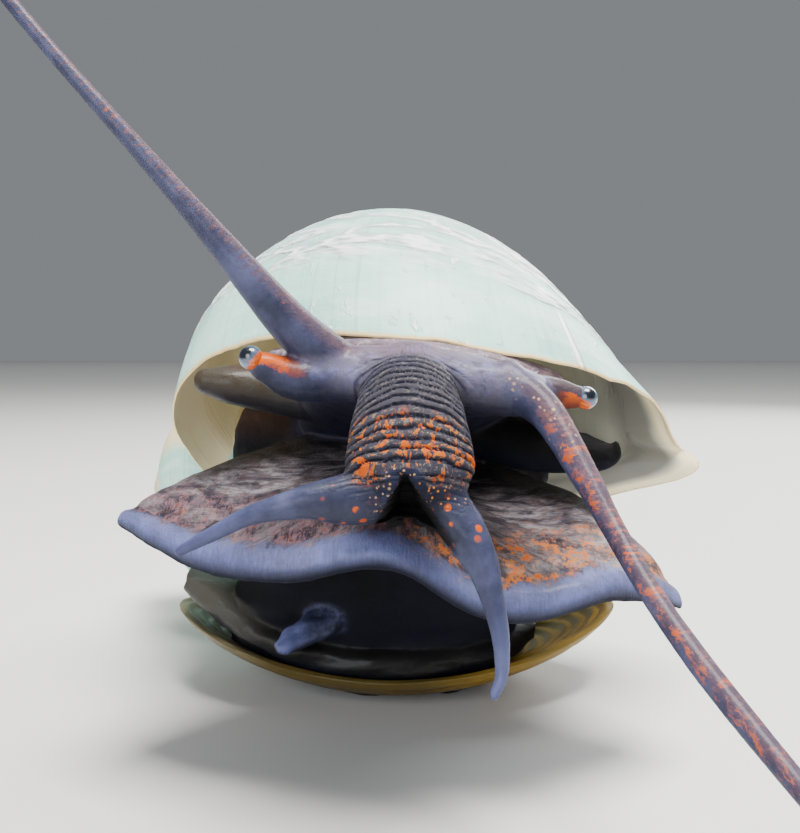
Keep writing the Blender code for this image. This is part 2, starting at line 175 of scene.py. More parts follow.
def toMetres(points):
    points = np.asarray(points, float)
    return (points - np.array((*restPoint, 0.0))) * milli


def spotInMetres(point):
    return Vector(toMetres([point])[0])


def tidyMesh(mesh):
    # close the open ends and turn all faces out
    form = bmesh.new()
    form.from_mesh(mesh)
    edges = [edge for edge in form.edges if edge.is_boundary]
    bmesh.ops.holes_fill(form, edges=edges, sides=0)
    bmesh.ops.recalc_face_normals(form, faces=form.faces)
    form.to_mesh(mesh)
    form.free()


def bakeModifiers(piece):
    graph = bpy.context.evaluated_depsgraph_get()
    mesh = bpy.data.meshes.new_from_object(piece.evaluated_get(graph))
    piece.modifiers.clear()
    piece.data = mesh
    mesh.shade_smooth()


def paintField(mesh, name, values):
    layer = mesh.attributes.new(name, "FLOAT", "POINT")
    layer.data.foreach_set("value", np.ascontiguousarray(values, np.float32))


# Shell: a tube whose section grows by one ratio each turn about a leaning axis.
shellShape = {
    "apex": (-19.5, 14.7, 9.25),  # millimetres
    "azimuth": math.radians(22.7),
    "dip": math.radians(5.8),
    "lipRoll": math.radians(72.3),
    "whorlRatio": 2.59,
    "sectionOut": 8.8,
    "sectionDown": 26.4,
    "halfWidth": 11.12,
    "halfHeight": 14.81,
    "sectionLean": -0.34,
    "triangle": (-0.027, 0.044),
    "flare": 0.64,
    "flareAngle": -2.34,
    "flareSpread": 0.39,
    "flareTurns": 0.4,
    "crown": 0.038,  # how far the lip rises over the head
    "crownAngle": 0.12,
    "crownSpread": 0.3,
    "lead": (-3.56, -0.12, 1.21, -0.78),
    "axisClearance": 1.0,
    "leastClearance": 0.15,
    "wall": 0.8,
    "hollowTurns": 0.6,
    "lipThickness": 0.2,  # of the wall
    "lipTurns": 0.05,
    "lipWave": 0.6,
    "oldTurns": 3.9,
    "pointsAround": 176,
    "rowsAlong": 520,
    "outerShare": 0.78,  # of the rows
    "lipShare": 0.03,
    "ridgeHeight": 0.05,
    "wrinkleHeight": 0.13,
    "mergeDistance": 2e-7,  # metres
}


def shellAxes(shape):
    cosA, sinA = math.cos(shape["azimuth"]), math.sin(shape["azimuth"])
    cosD, sinD = math.cos(shape["dip"]), math.sin(shape["dip"])
    apex = Vector((-cosA * cosD, sinA * cosD, -sinD))
    up = (Vector((0, 0, 1)) - apex * apex.z).normalized()
    forward = up.cross(apex)
    outward = math.cos(shape["lipRoll"]) * up + math.sin(shape["lipRoll"]) * forward
    return outward, -apex.cross(outward), apex


def wrinkleLines(bench, turn, cosine, sine, width):
    # a net of crests that mostly follow the lip, some way back from it
    web = bench.web((turn * 48.0, cosine * 2.1, sine * 2.1), 3.0, 0.55, 0.12)
    patches = bench.web((turn * 14.0, cosine * 2.2, sine * 2.2), 2.0, 0.5).band(0.36, 0.52)
    return (1.0 - (web - 0.5).maths("ABSOLUTE").band(0.0, width)) * (patches * 0.8 + 0.2)


def wrinkleZone(lip):
    return lip.band(0.034, 0.056) * (1.0 - lip.band(0.17, 0.28))


def shellTree(shape, material):
    tree = bpy.data.node_groups.new("shell spiral", "GeometryNodeTree")
    tree.interface.new_socket("Geometry", in_out="OUTPUT", socket_type="NodeSocketGeometry")
    sizes = ("wall", "hollowTurns", "oldTurns", "ridgeHeight", "wrinkleHeight", "flare", "whorlRatio")
    for name in sizes:
        tree.interface.new_socket(name, in_out="INPUT", socket_type="NodeSocketFloat")
    bench = Bench(tree)
    group = tree.nodes.new("NodeGroupInput")
    size = {name: Wire(bench, group.outputs[name]) for name in sizes}
    counts = {"Vertices X": shape["pointsAround"] + 1, "Vertices Y": shape["rowsAlong"]}
    grid = bench.add("GeometryNodeMeshGrid", None, {"Size X": 1.0, "Size Y": 1.0, **counts})
    spot = bench.add("GeometryNodeInputPosition")
    gridX, gridY = (bench.add("ShaderNodeSeparateXYZ", None, {0: spot}, axis) for axis in (0, 1))
    angle = (gridX + 0.5) * fullTurn
    aroundCos, aroundSin = angle.maths("COSINE"), angle.maths("SINE")
    way = gridY + 0.5
    outerEnd, lipEnd = shape["outerShare"], shape["outerShare"] + shape["lipShare"]

    def part(start, end):
        return bench.add("ShaderNodeMapRange", None, {0: way, 1: start, 2: end, 3: 0.0, 4: 1.0})

    def bell(middle, spread):
        # 1 at the middle angle, falling away on both sides
        offset = angle - middle
        away = offset.maths("SINE").maths("ARCTAN2", offset.maths("COSINE")) / spread
        return (away * away * -1.0).maths("EXPONENT")

    # the rows run down the outside, round the lip and back up the inside
    outerWay, lipWay, innerWay = part(0.0, outerEnd), part(outerEnd, lipEnd), part(lipEnd, 1.0)
    logRatio = size["whorlRatio"].maths("LOGARITHM", math.e)
    least = (size["oldTurns"] * logRatio * -1.0).maths("EXPONENT")
    grown = least + (1.0 - least) * outerWay
    turn = grown.maths("LOGARITHM", math.e) / logRatio + innerWay * size["hollowTurns"] * -1.0
    scale = (turn * logRatio).maths("EXPONENT")
    lipAway = (turn * scale).maths("ABSOLUTE")
    lipThin = (turn / -shape["lipTurns"]).maths("MINIMUM", 1.0)
    halfWall = size["wall"] * (lipThin * (1.0 - shape["lipThickness"]) + shape["lipThickness"]) * 0.5
    bend = lipWay * math.pi
    inset = halfWall - halfWall * bend.maths("COSINE")
    bulge = halfWall * bend.maths("SINE")

    # growth ridges and wrinkles follow the lip, on the outside only
    ridgeNoise = bench.web((turn * 46.0, aroundCos * 0.6, aroundSin * 0.6), 2.0, 0.6)
    broad = bench.web((turn * 9.0, aroundCos * 1.5, aroundSin * 1.5), 2.0, 0.5)
    wrinkles = wrinkleLines(bench, turn, aroundCos, aroundSin, 0.075)
    wrinkles = wrinkles * wrinkleZone(lipAway) * size["wrinkleHeight"]
    lift = ((ridgeNoise - 0.5) * 1.4 + (broad - 0.5) * 2.2) * size["ridgeHeight"] + wrinkles
    inset = inset - lift * (1.0 - lipWay) * scale.maths("MINIMUM", 1.0)

    # the section: an ellipse with soft corners, a flare at the lip and a crown over the head
    near = (turn / shape["flareTurns"] + 1.0).maths("MAXIMUM", 0.0).maths("MINIMUM", 1.0)
    flare = near * near * bell(shape["flareAngle"], shape["flareSpread"]) * size["flare"]
    crown = bell(shape["crownAngle"], shape["crownSpread"]) * near * near * shape["crown"]
    triple = angle * 3.0
    corners = triple.maths("SINE") * shape["triangle"][0] + triple.maths("COSINE") * shape["triangle"][1]
    swell = corners + 1.0 + flare + crown
    wide = aroundCos * (swell * shape["halfWidth"] - inset / scale)
    high = aroundSin * (swell * shape["halfHeight"] - inset / scale)
    cosLean, sinLean = math.cos(shape["sectionLean"]), math.sin(shape["sectionLean"])
    radial = wide * cosLean - high * sinLean
    axial = wide * sinLean + high * cosLean
    clearance = (inset / scale + shape["axisClearance"]).maths("MAXIMUM", shape["leastClearance"])
    free = radial + shape["sectionOut"] - clearance
    root = (free * free + shape["axisClearance"] ** 2).maths("SQRT")
    reach = clearance + (free + root) * 0.5

    # the lip's edge runs ahead of its section in some places and behind it in others
    double = angle * 2.0
    leads = shape["lead"]
    lead = aroundCos * leads[0] + aroundSin * leads[1]
    lead = lead + double.maths("COSINE") * leads[2] + double.maths("SINE") * leads[3]
    ripple = bench.web((aroundCos * 5.0, aroundSin * 5.0, 0.3), 3.0, 0.55) - 0.5
    lead = lead * scale + bulge + ripple * shape["lipWave"] * (1.0 - lipThin)
    swing = turn * fullTurn
    cosine, sine = swing.maths("COSINE"), swing.maths("SINE")
    parts = (
        (scale * reach * cosine - lead * sine) * milli,
        (scale * reach * sine + lead * cosine) * milli,
        scale * (axial - shape["sectionDown"]) * milli,
    )
    total = tuple(spotInMetres(shape["apex"]))
    for axis, amount in zip(shellAxes(shape), parts):
        moved = bench.add("ShaderNodeVectorMath", {"operation": "SCALE"}, {0: tuple(axis), "Scale": amount})
        total = bench.add("ShaderNodeVectorMath", {"operation": "ADD"}, {0: total, 1: moved})
    stored = {
        "shellTurn": turn,
        "shellCos": aroundCos,
        "shellSin": aroundSin,
        "shellInner": lipWay,
        "shellLip": lipAway,
    }
    geometry = grid
    for name, value in stored.items():
        values = {"Geometry": geometry, "Name": name, "Value": value}
        settings = {"data_type": "FLOAT", "domain": "POINT"}
        geometry = bench.add("GeometryNodeStoreNamedAttribute", settings, values)
    steps = {
        "GeometryNodeSetPosition": {"Position": total},
        "GeometryNodeMergeByDistance": {"Distance": shape["mergeDistance"]},
        "GeometryNodeRealizeInstances": {},
        "GeometryNodeSetMaterial": {"Material": material},
    }
    for kind, values in steps.items():
        geometry = bench.add(kind, None, {"Geometry": geometry, **values})
    end = tree.nodes.new("NodeGroupOutput")
    tree.links.new(geometry.socket, end.inputs[0])
    return tree, sizes


def buildShell(shape, material):
    print("shell: spiral tube")
    tree, sizes = shellTree(shape, material)
    piece = meshPiece("shellSpiral", [(0, 0, 0)], [])
    modifier = piece.modifiers.new("spiral", "NODES")
    modifier.node_group = tree
    for item in tree.interface.items_tree:
        if item.in_out == "INPUT" and item.name in sizes:
            modifier[item.identifier] = float(shape[item.name])
    bakeModifiers(piece)
    tidyMesh(piece.data)
    for point in piece.data.vertices:
        point.co.z = max(point.co.z, 0.0)
    piece.data.shade_smooth()
    return piece


shellColours = {
    "aqua": (0.280, 0.600, 0.500),
    "pale": (0.500, 0.810, 0.700),
    "white": (0.940, 0.990, 0.950),
    "shade": (0.190, 0.370, 0.310),
    "sand": (0.860, 0.650, 0.310),
    "cream": (0.920, 0.800, 0.520),
    "olive": (0.780, 0.680, 0.400),
    "dusk": (0.460, 0.450, 0.350),
    "grey": (0.300, 0.300, 0.250),
    "patch": (0.120, 0.115, 0.105),
    "mauve": (0.360, 0.430, 0.440),
    "none": (0.0, 0.0, 0.0),
}
scarAngle = math.radians(326)  # one old scar that runs back from the lip


def shellMaterial(shades):
    fixed = {
        "Coat Weight": 0.12,
        "Coat Roughness": 0.25,
        "Subsurface Weight": 0.2,
        "Subsurface Radius": (0.0005, 0.0005, 0.0003),
        "Emission Strength": 0.14,
    }
    material, bench, shader = newMaterial("shellNacre", fixed, shades)
    names = ("shellTurn", "shellLip", "shellInner", "shellCos", "shellSin")
    turn, lip, inner, cosine, sine = (bench.attribute(name) for name in names)
    older = turn * -1.0
    aged = wrinkleZone(lip)
    # in the wrinkled zone the white on the crests is partly the shell's own white and partly painted highlight,
    # and the troughs beside them get painted shade
    crestWhiteAndHighlight = wrinkleLines(bench, turn, cosine, sine, 0.06) * aged
    troughShade = wrinkleLines(bench, turn, cosine, sine, 0.13) * aged
    broad = bench.noise(150.0, 3.0, 0.6)
    growth = bench.web((turn * 80.0, cosine * 2.4, sine * 2.4), 5.0, 0.62, 0.15)
    stria = bench.web((cosine * 34.0, sine * 34.0, turn * 2.0), 4.0, 0.62)
    chips = bench.web((cosine * 16.0, sine * 16.0, turn * 60.0), 5.0, 0.7)
    scarFacing = cosine * math.cos(scarAngle) + sine * math.sin(scarAngle)
    scarAside = (cosine * math.sin(scarAngle) - sine * math.cos(scarAngle)) / scarFacing
    scarAside = (scarAside + (broad - 0.5) * 0.05).maths("ABSOLUTE")
    scar = (1.0 - scarAside.band(0.008, 0.022)) * scarFacing.band(0.0, 0.1) * (1.0 - lip.band(0.03, 0.05))
    outside = bench.layers(
        "aqua",
        (broad.band(0.35, 0.65), "pale"),
        (stria.band(0.5, 0.72) * 0.35, "shade"),
        (chips.band(0.60, 0.68) * 0.8, "white"),
        # white growth lines, brightened in the wrinkled zone by painted highlight
        (growth.band(0.48, 0.66) * (aged * 0.45 + 0.25), "white"),
        # painted shade in the wrinkle troughs, then white on their crests with painted highlight
        (troughShade * 0.95, "mauve"),
        (crestWhiteAndHighlight, "white"),
        (scar, "white"),
        (older.band(0.9, 2.4) * 0.5, "aqua"),
        (1.0 - lip.band(0.0007, 0.0018), "sand"),
        (older.band(0.98, 1.02) * cosine.band(0.0, 0.3), "olive"),
    )

    # inside: cream at the edge, then darker deeper in with painted shade, and more yellow toward the spire
    yellow = bench.mix(bench.noise(170.0, 3.0).band(0.35, 0.65), "cream", "olive")
    # a darker band a little way in from the lip
    darkBand = (lip + (broad - 0.5) * 0.006).band(0.016, 0.026)
    darkBand = darkBand * (1.0 - (lip + (broad - 0.5) * 0.01).band(0.05, 0.08))
    # painted shade deeper inside the opening, with grey mottles and a darker band
    insideShade = bench.layers("dusk", (bench.noise(150.0, 3.0).band(0.35, 0.65), "grey"), (darkBand * 0.8, "patch"))
    inside = bench.mix(sine.band(-0.25, 0.35), bench.mix(lip.band(0.008, 0.02), yellow, insideShade), yellow)
    inside = bench.mix((1.0 - lip.band(0.006, 0.014)) * 0.85, inside, "cream")

    # light that comes through the thin wall makes the lip and the inside glow
    within = inner.band(0.6, 0.9)
    glow = bench.mix(inner.band(0.1, 0.3), "none", bench.mix(within, "sand", inside))
    relief = growth * (aged * 0.6 + 0.3) + stria * 0.15 + crestWhiteAndHighlight * 0.7 + chips.band(0.58, 0.70) * 0.3
    sockets = {
        "Base Color": bench.mix(within, outside, inside),
        "Emission Color": glow,
        "Roughness": growth * 0.2 + 0.4,
    }
    feed(bench, shader, sockets, relief * (1.0 - within * 0.8) + scar * 1.5, 0.0003, 0.75)
    return material


# Flesh: tubes through stations of x, y, z, half width and half height, in millimetres.
fleshTubes = {
    "body": [
        (-0.5, 3.0, 15.5, 9.0, 6.0),
        (-0.5, -3.0, 14.0, 9.5, 5.0),
        (-1.0, -6.0, 8.2, 8.0, 3.3),
        (-1.7, -4.2, 3.0, 8.4, 3.1),
    ],
    "neck": [
        (0.4, -4.0, 15.6, 6.2, 3.2),
        (0.3, -9.0, 17.2, 5.8, 2.4),
        (0.4, -13.0, 18.1, 5.2, 1.55),
        (0.5, -16.0, 18.7, 4.4, 1.45),
    ],
    "head": [
        (-3.7, -16.7, 19.1, 1.2, 1.15),
        (-1.6, -16.5, 18.9, 1.75, 1.4),
        (0.7, -16.4, 18.75, 2.0, 1.5),
        (3.1, -16.5, 18.5, 1.75, 1.4),
        (5.6, -16.8, 18.15, 1.15, 1.05),
    ],
    "snout": [
        (0.5, -16.6, 19.0, 2.0, 1.5),
        (0.4, -18.4, 17.9, 2.2, 1.7),
        (0.4, -19.9, 16.6, 2.5, 1.8),
        (0.4, -20.7, 15.3, 2.65, 1.75),
        (0.4, -20.9, 14.7, 2.4, 1.5),
    ],
    "palpRight": [
        (-0.9, -20.9, 14.2, 1.2, 1.15),
        (-2.4, -21.4, 14.1, 1.0, 0.95),
        (-3.5, -21.7, 14.1, 0.73, 0.7),
        (-4.6, -21.8, 13.9, 0.55, 0.53),
        (-6.0, -21.6, 13.5, 0.4, 0.4),
        (-7.5, -21.1, 12.7, 0.32, 0.32),
        (-9.1, -20.4, 11.8, 0.22, 0.22),
    ],
    "palpLeft": [
        (1.5, -20.9, 14.0, 1.2, 1.15),
        (2.5, -21.7, 12.9, 0.95, 0.9),
        (3.2, -22.2, 11.7, 0.68, 0.66),
        (3.6, -22.6, 10.4, 0.48, 0.48),
        (3.9, -22.9, 8.9, 0.36, 0.36),
        (3.9, -23.2, 7.6, 0.28, 0.28),
        (3.6, -23.5, 6.9, 0.22, 0.22),
    ],
    "tentacleRight": [
        (-2.7, -16.7, 19.3, 1.15, 1.1),
        (-4.9, -17.2, 21.3, 0.96, 0.92),
        (-8.1, -17.7, 25.1, 0.6, 0.6),
        (-11.3, -18.0, 28.8, 0.41, 0.41),
        (-14.3, -18.0, 32.2, 0.34, 0.34),
        (-16.9, -17.8, 35.3, 0.31, 0.31),
        (-19.0, -17.2, 38.0, 0.26, 0.26),
        (-20.9, -16.5, 41.0, 0.18, 0.18),
    ],
    "tentacleLeft": [
        (4.7, -16.7, 18.6, 1.1, 1.05),
        (6.3, -18.0, 17.4, 0.8, 0.78),
        (7.5, -20.1, 15.1, 0.61, 0.61),
        (8.4, -22.2, 13.0, 0.47, 0.47),
        (9.3, -24.7, 11.0, 0.44, 0.44),
        (10.3, -27.1, 9.3, 0.45, 0.45),
        (11.3, -29.2, 7.9, 0.43, 0.43),
        (12.1, -31.5, 6.8, 0.37, 0.37),
        (12.4, -33.8, 6.3, 0.28, 0.28),
        (12.2, -36.0, 6.4, 0.18, 0.18),
    ],
    "eyestalkRight": [
        (-3.0, -16.8, 18.8, 1.1, 1.05),
        (-4.6, -17.3, 18.8, 1.0, 0.95),
        (-5.9, -17.9, 19.35, 0.68, 0.66),
    ],
    "eyestalkLeft": [
        (5.2, -16.4, 18.3, 0.9, 0.85),
        (6.8, -16.5, 18.15, 0.76, 0.74),
        (7.9, -16.65, 18.0, 0.56, 0.54),
    ],
    "mantleEdge": [
        (-6.4, -10.0, 19.4, 0.9, 0.75),
        (-3.0, -11.8, 19.88, 1.3, 0.85),
        (0.6, -12.75, 19.93, 1.4, 0.85),
        (4.2, -12.75, 19.3, 1.3, 0.85),
        (7.4, -11.8, 18.42, 0.9, 0.75),
    ],
    "nuchalLobe": [
        (-3.8, -9.8, 17.4, 1.6, 1.2),
        (-6.6, -10.4, 18.0, 1.4, 1.15),
        (-8.6, -10.9, 18.35, 1.2, 1.0),
        (-9.8, -11.1, 18.5, 0.8, 0.65),
    ],
    "siphon": [
        (4.2, -9.2, 15.8, 1.7, 1.4),
        (6.8, -10.5, 15.1, 1.4, 1.25),
        (9.0, -11.2, 14.9, 1.15, 1.05),
        (10.2, -11.5, 14.8, 0.8, 0.7),
    ],
    "siphonTip": [
        (9.4, -11.5, 14.3, 0.45, 0.4),
        (10.3, -11.7, 14.35, 0.33, 0.3),
        (10.85, -11.8, 14.85, 0.27, 0.27),
        (10.8, -11.8, 15.35, 0.2, 0.2),
    ],
    "footFold": [
        (-2.6, -6.4, 6.0, 1.1, 1.0),
        (-4.4, -8.8, 5.3, 0.8, 0.75),
        (-6.2, -10.3, 4.6, 0.6, 0.55),
    ],
}

# The way of each tube's width, where it isn't along x.
tubeSides = {
    "head": (0, 1, 0),
    "palpRight": (0, 0, 1),
    "tentacleRight": (1, 0, 1),
    "tentacleLeft": (1, 0, 1),
    "eyestalkRight": (0, 1, 0),
    "eyestalkLeft": (0, 1, 0),
    "mantleEdge": (0, 1, 0),
    "nuchalLobe": (0, 1, 0),
    "siphon": (0, 1, 0),
    "siphonTip": (0, 1, 0),
}

# Sheets of flesh: x, front y, front z, back y, back z, front and back half depth.
fleshSheets = {
    "footFront": [
        (-13.5, -14.3, 11.9, -13.3, 12.1, 0.3, 0.3),
        (-11.6, -15.8, 11.3, -10.6, 13.0, 0.8, 0.6),
        (-8.7, -17.5, 10.5, -8.2, 13.9, 1.15, 1.2),
        (-4.9, -18.9, 10.4, -6.6, 14.6, 1.2, 2.0),
        (-0.5, -19.3, 11.1, -6.0, 14.6, 1.2, 2.4),
        (3.3, -19.3, 9.0, -6.0, 13.6, 1.2, 2.4),
        (6.2, -18.8, 8.7, -6.6, 12.6, 1.2, 2.0),
        (9.4, -17.4, 9.2, -8.2, 11.8, 1.1, 1.2),
        (12.0, -15.6, 8.5, -10.8, 10.2, 0.7, 0.6),
        (13.7, -13.8, 7.6, -12.8, 8.2, 0.3, 0.3),
    ],
    "footHind": [
        (-12.6, -5.0, 6.6, -2.6, 6.6, 0.5, 0.5),
        (-10.4, -6.8, 5.6, -1.0, 5.2, 1.1, 1.1),
        (-6.0, -8.2, 3.5, 0.6, 3.0, 1.3, 1.3),
        (0.0, -8.6, 2.6, 1.2, 2.2, 1.4, 1.4),
        (4.4, -7.4, 2.8, 0.6, 2.6, 1.2, 1.2),
        (6.6, -6.0, 3.1, -0.6, 3.0, 0.9, 0.9),
        (8.0, -4.8, 3.6, -2.4, 3.6, 0.5, 0.5),
    ],
}
sheetPower = 0.75  # of the rounded section


def smoothRows(stations, steps):
    # Catmull-Rom rows through the stations
    rows = np.asarray(stations, float)
    padded = np.vstack([2 * rows[0] - rows[1], rows, 2 * rows[-1] - rows[-2]])
    result = []
    for span in range(len(rows) - 1):
        a, b, c, d = padded[span : span + 4]
        for step in range(steps):
            s = step / steps
            cubic = (3 * b - a - 3 * c + d) * s**3 + (2 * a - 5 * b + 4 * c - d) * s**2 + (c - a) * s
            result.append(b + 0.5 * cubic)
    result.append(rows[-1])
    return np.array(result)


def tubePath(stations, steps):
    path = smoothRows(stations, steps)
    centres = path[:, :3]
    tangents = np.gradient(centres, axis=0)
    tangents /= np.linalg.norm(tangents, axis=1)[:, None]
    return path, centres, tangents


def tubeSide(name):
    return np.asarray(tubeSides.get(name, (1, 0, 0)), float)


def tubeRings(name, stations, steps=10, around=40):
    side = tubeSide(name)
    path, centres, tangents = tubePath(stations, steps)
    rows = [(centre, tangent, row[3], row[4]) for centre, tangent, row in zip(centres, tangents, path)]
    angles = np.linspace(0, fullTurn, around, endpoint=False)[:, None]

    def dome(row, sign):
        # the round end beyond the row
        centre, tangent, wide, high = row
        reach = min(wide, high)
        ends = []
        for bend in (0.3, 0.6, 0.9, 1.2, 1.45):
            beyond = centre + tangent * sign * reach * math.sin(bend)
            ends.append((beyond, tangent, wide * math.cos(bend), high * math.cos(bend)))
        return ends

    rings = []
    for centre, tangent, wide, high in dome(rows[0], -1)[::-1] + rows + dome(rows[-1], 1):
        across = side - tangent * np.dot(side, tangent)
        across /= np.linalg.norm(across)
        up = np.cross(tangent, across)
        rings.append(centre + across * wide * np.cos(angles) + up * high * np.sin(angles))
    return rings


def sheetRings(stations, steps=8, around=72):
    angles = np.linspace(0, fullTurn, around, endpoint=False)
    along, lift = (np.sign(wave) * np.abs(wave) ** sheetPower for wave in (np.cos(angles), np.sin(angles)))
    rings = []
    for x, frontY, frontZ, backY, backZ, frontHalf, backHalf in smoothRows(stations, steps):
        front, back = np.array((x, frontY, frontZ)), np.array((x, backY, backZ))
        run = front - back
        length = np.linalg.norm(run)
        run /= length
        normal = np.cross((1.0, 0.0, 0.0), run)
        normal /= np.linalg.norm(normal)
        half = backHalf + (frontHalf - backHalf) * (along + 1) / 2
        height = lift * half
        rings.append((front + back) / 2 + run * (along * length / 2)[:, None] + normal * height[:, None])
    return rings


def ringMesh(rings):
    # points and faces of a closed tube through the rings
    count = len(rings[0])
    points = [point for ring in rings for point in ring]
    faces = []
    for row in range(len(rings) - 1):
        low, high = row * count, (row + 1) * count
        for column in range(count):
            after = (column + 1) % count
            faces.append((low + column, low + after, high + after, high + column))
    for ring, start, flip in ((rings[0], 0, True), (rings[-1], (len(rings) - 1) * count, False)):
        points.append(np.mean(np.asarray(ring), axis=0))
        hub = len(points) - 1
        for column in range(count):
            after = (column + 1) % count
            faces.append((start + after, start + column, hub) if flip else (start + column, start + after, hub))
    return points, faces


# Mouth: a notch with a short roll of flesh on each side, in millimetres.
mouthShape = {
    "top": (0.2, -22.35, 15.0),
    "bottom": (0.35, -21.6, 13.0),
    "lipRadius": 0.42,
    "lipStep": 0.72,
    "notchWidth": 0.15,
    "notchSpread": 1.1,
    "notchDepth": 2.3,
    "notchY": (-20.6, -21.4),  # where the notch begins, from the back to the front
    "darkY": (-18.6, -19.4),
    "collarWidth": 0.75,
}

snoutMiddle = 0.4  # x of the snout and of the painted shade on the foot under it

skinShape = {
    "voxel": 0.000105,  # metres
    "smoothing": 7,
    "mostTriangles": 166000,
    "blend": 0.4,  # millimetres, as all that follows
    "lumpHeight": 0.07,
    "grooveDepth": 0.16,  # behind the foot's rim
    "grooveInset": 1.75,
    "grooveWidth": 0.6,
    "bodyFolds": 0.22,
    "foldLumps": 0.35,
    "foldPitch": 0.36,  # folds across the snout
    "foldDepth": 0.10,
    "foldStart": (0.5, 1.3),
    "foldEnd": (5.5, 6.1),
    "foldDroop": 0.3,  # how much lower they reach at the sides
    "foldBox": ((-2.9, -23.2, 13.6), (3.7, -17.4, 20.0)),
}

# Which tubes make up each region that the skin's colours know.
skinRegions = {
    "snoutPart": ("snout", "lipRight", "lipLeft"),
    "palpPart": ("palpRight", "palpLeft"),
    "tentacleRightPart": ("tentacleRight",),
    "tentacleLeftPart": ("tentacleLeft",),
    "headPart": ("head", "neck"),
    "eyestalkPart": ("eyestalkRight", "eyestalkLeft"),
    "mantlePart": ("mantleEdge",),
    "lobePart": ("nuchalLobe",),
    "siphonPart": ("siphon", "siphonTip"),
    "foldPart": ("footFold",),
    "bodyPart": ("body",),
}

# Measures of paired tubes: pair, which measure of tubeField, and what the left one has added.
pairedFields = {
    "tentacleAlong": ("tentacle", 1, 0.0),
    "tentacleTop": ("tentacle", 2, 0.0),
    "palpAlong": ("palp", 1, 0.0),
    "stalkAlong": ("eyestalk", 1, 0.4),
}


def lipTubes(shape):
    tubes = {}
    for name, sign in (("lipRight", -1), ("lipLeft", 1)):
        rows = []
        for partWay in (0.0, 0.5, 1.0):
            middle = np.array(shape["top"]) * (1 - partWay) + np.array(shape["bottom"]) * partWay
            bow = shape["lipStep"] * (0.8 + 0.2 * math.sin(math.pi * partWay))
            spot = (middle[0] + sign * bow, middle[1] + 0.1, middle[2])
            rows.append((*spot, shape["lipRadius"], shape["lipRadius"]))
        tubes[name] = rows
    return tubes


def tubeField(name, stations, spots, steps=12):
    # distance outside the tube's wall, way along it in millimetres, and how far up its side each spot is
    side = tubeSide(name)
    path, centres, tangents = tubePath(stations, steps)
    lengths = np.concatenate([[0.0], np.cumsum(np.linalg.norm(np.diff(centres, axis=0), axis=1))])
    nearest = np.zeros(len(spots), int)
    best = np.full(len(spots), np.inf)
    for index, centre in enumerate(centres):
        square = ((spots - centre) ** 2).sum(1)
        closer = square < best
        best[closer] = square[closer]
        nearest[closer] = index
    offset = spots - centres[nearest]
    tangent = tangents[nearest]
    ahead = (offset * tangent).sum(1)
    along = lengths[nearest] + ahead
    inside = (along > 0) & (along < lengths[-1])
    ahead = np.where(inside, 0.0, ahead)
    across = side - tangent * (tangent @ side)[:, None]
    across /= np.linalg.norm(across, axis=1)[:, None]
    up = np.cross(tangent, across)
    wide, high = path[nearest, 3], path[nearest, 4]
    partWide, partHigh = (offset * across).sum(1), (offset * up).sum(1)
    least = np.minimum(wide, high)
    measure = np.sqrt((partWide / wide) ** 2 + (partHigh / high) ** 2 + (ahead / least) ** 2)
    away = np.maximum((measure - 1.0) * least, 0.0)
    top = offset[:, 2] / np.maximum(np.linalg.norm(offset, axis=1), 1e-6)
    return away, along, top


def sheetField(stations, spots, steps=12):
    # distance outside a sheet, distance from its front rim, and height within it from -1 to 1
    path = smoothRows(stations, steps)
    order = np.argsort(path[:, 0])
    rows = [np.interp(spots[:, 0], path[order, 0], path[order, column]) for column in range(1, 7)]
    frontY, frontZ, backY, backZ, frontHalf, backHalf = rows
    runY, runZ = frontY - backY, frontZ - backZ
    length = np.hypot(runY, runZ)
    runY, runZ = runY / length, runZ / length
    offY, offZ = spots[:, 1] - (frontY + backY) / 2, spots[:, 2] - (frontZ + backZ) / 2
    along = (offY * runY + offZ * runZ) / (length / 2)
    lift = offZ * -runY + offY * runZ
    half = backHalf + (frontHalf - backHalf) * (np.clip(along, -1, 1) + 1) / 2
    power = 2 / sheetPower
    measure = (np.abs(along) ** power + np.abs(lift / half) ** power) ** (1 / power)
    beyond = np.maximum(np.abs(spots[:, 0]) - np.abs(path[:, 0]).max(), 0.0)
    away = np.maximum((measure - 1.0) * half, 0.0) + beyond
    rim = (1 - along) * length / 2
    return away, rim, np.clip(lift / half, -1, 1)


def smoothStep(low, high, values):
    part = np.clip((values - low) / (high - low), 0.0, 1.0)
    return part * part * (3 - 2 * part)


def noiseAt(spots, scale):
    return np.array([noise.noise(Vector(spot) * scale) for spot in spots])


def foldArch(along, sideways):
    # the snout's folds hang lower at its sides; this takes arrays and wires
    return along - sideways * sideways * (0.13 - along * 0.015)


def foldCrest(spots, along, weight, shape):
    # 0 in the grooves that arch across the snout, 1 on the folds between them
    index = np.nonzero(weight > 0.02)[0]
    near = spots[index]
    wander = noiseAt(near, 0.26) * 0.6 + noiseAt(near, 1.4) * 0.24
    arch = foldArch(along[index], near[:, 0] - snoutMiddle)
    crest = np.ones(len(spots))
    crest[index] = np.abs(np.sin(math.pi * (arch / shape["foldPitch"] + wander)))
    return crest


def refineFolds(piece, shape):
    # smaller faces where the snout's folds come
    low, high = [spotInMetres(corner) for corner in shape["foldBox"]]
    form = bmesh.new()
    form.from_mesh(piece.data)
    inside = {point for point in form.verts if all(low[i] < point.co[i] < high[i] for i in range(3))}
    edges = [edge for edge in form.edges if edge.verts[0] in inside and edge.verts[1] in inside]
    bmesh.ops.subdivide_edges(form, edges=edges, cuts=1, use_grid_fill=True)
    bmesh.ops.triangulate(form, faces=[face for face in form.faces if len(face.verts) > 4])
    form.to_mesh(piece.data)
    form.free()
    piece.data.shade_smooth()


def readVertices(mesh, name):
    values = np.empty(len(mesh.vertices) * 3, np.float32)
    mesh.vertices.foreach_get(name, values)
    return values.reshape(-1, 3).astype(float)


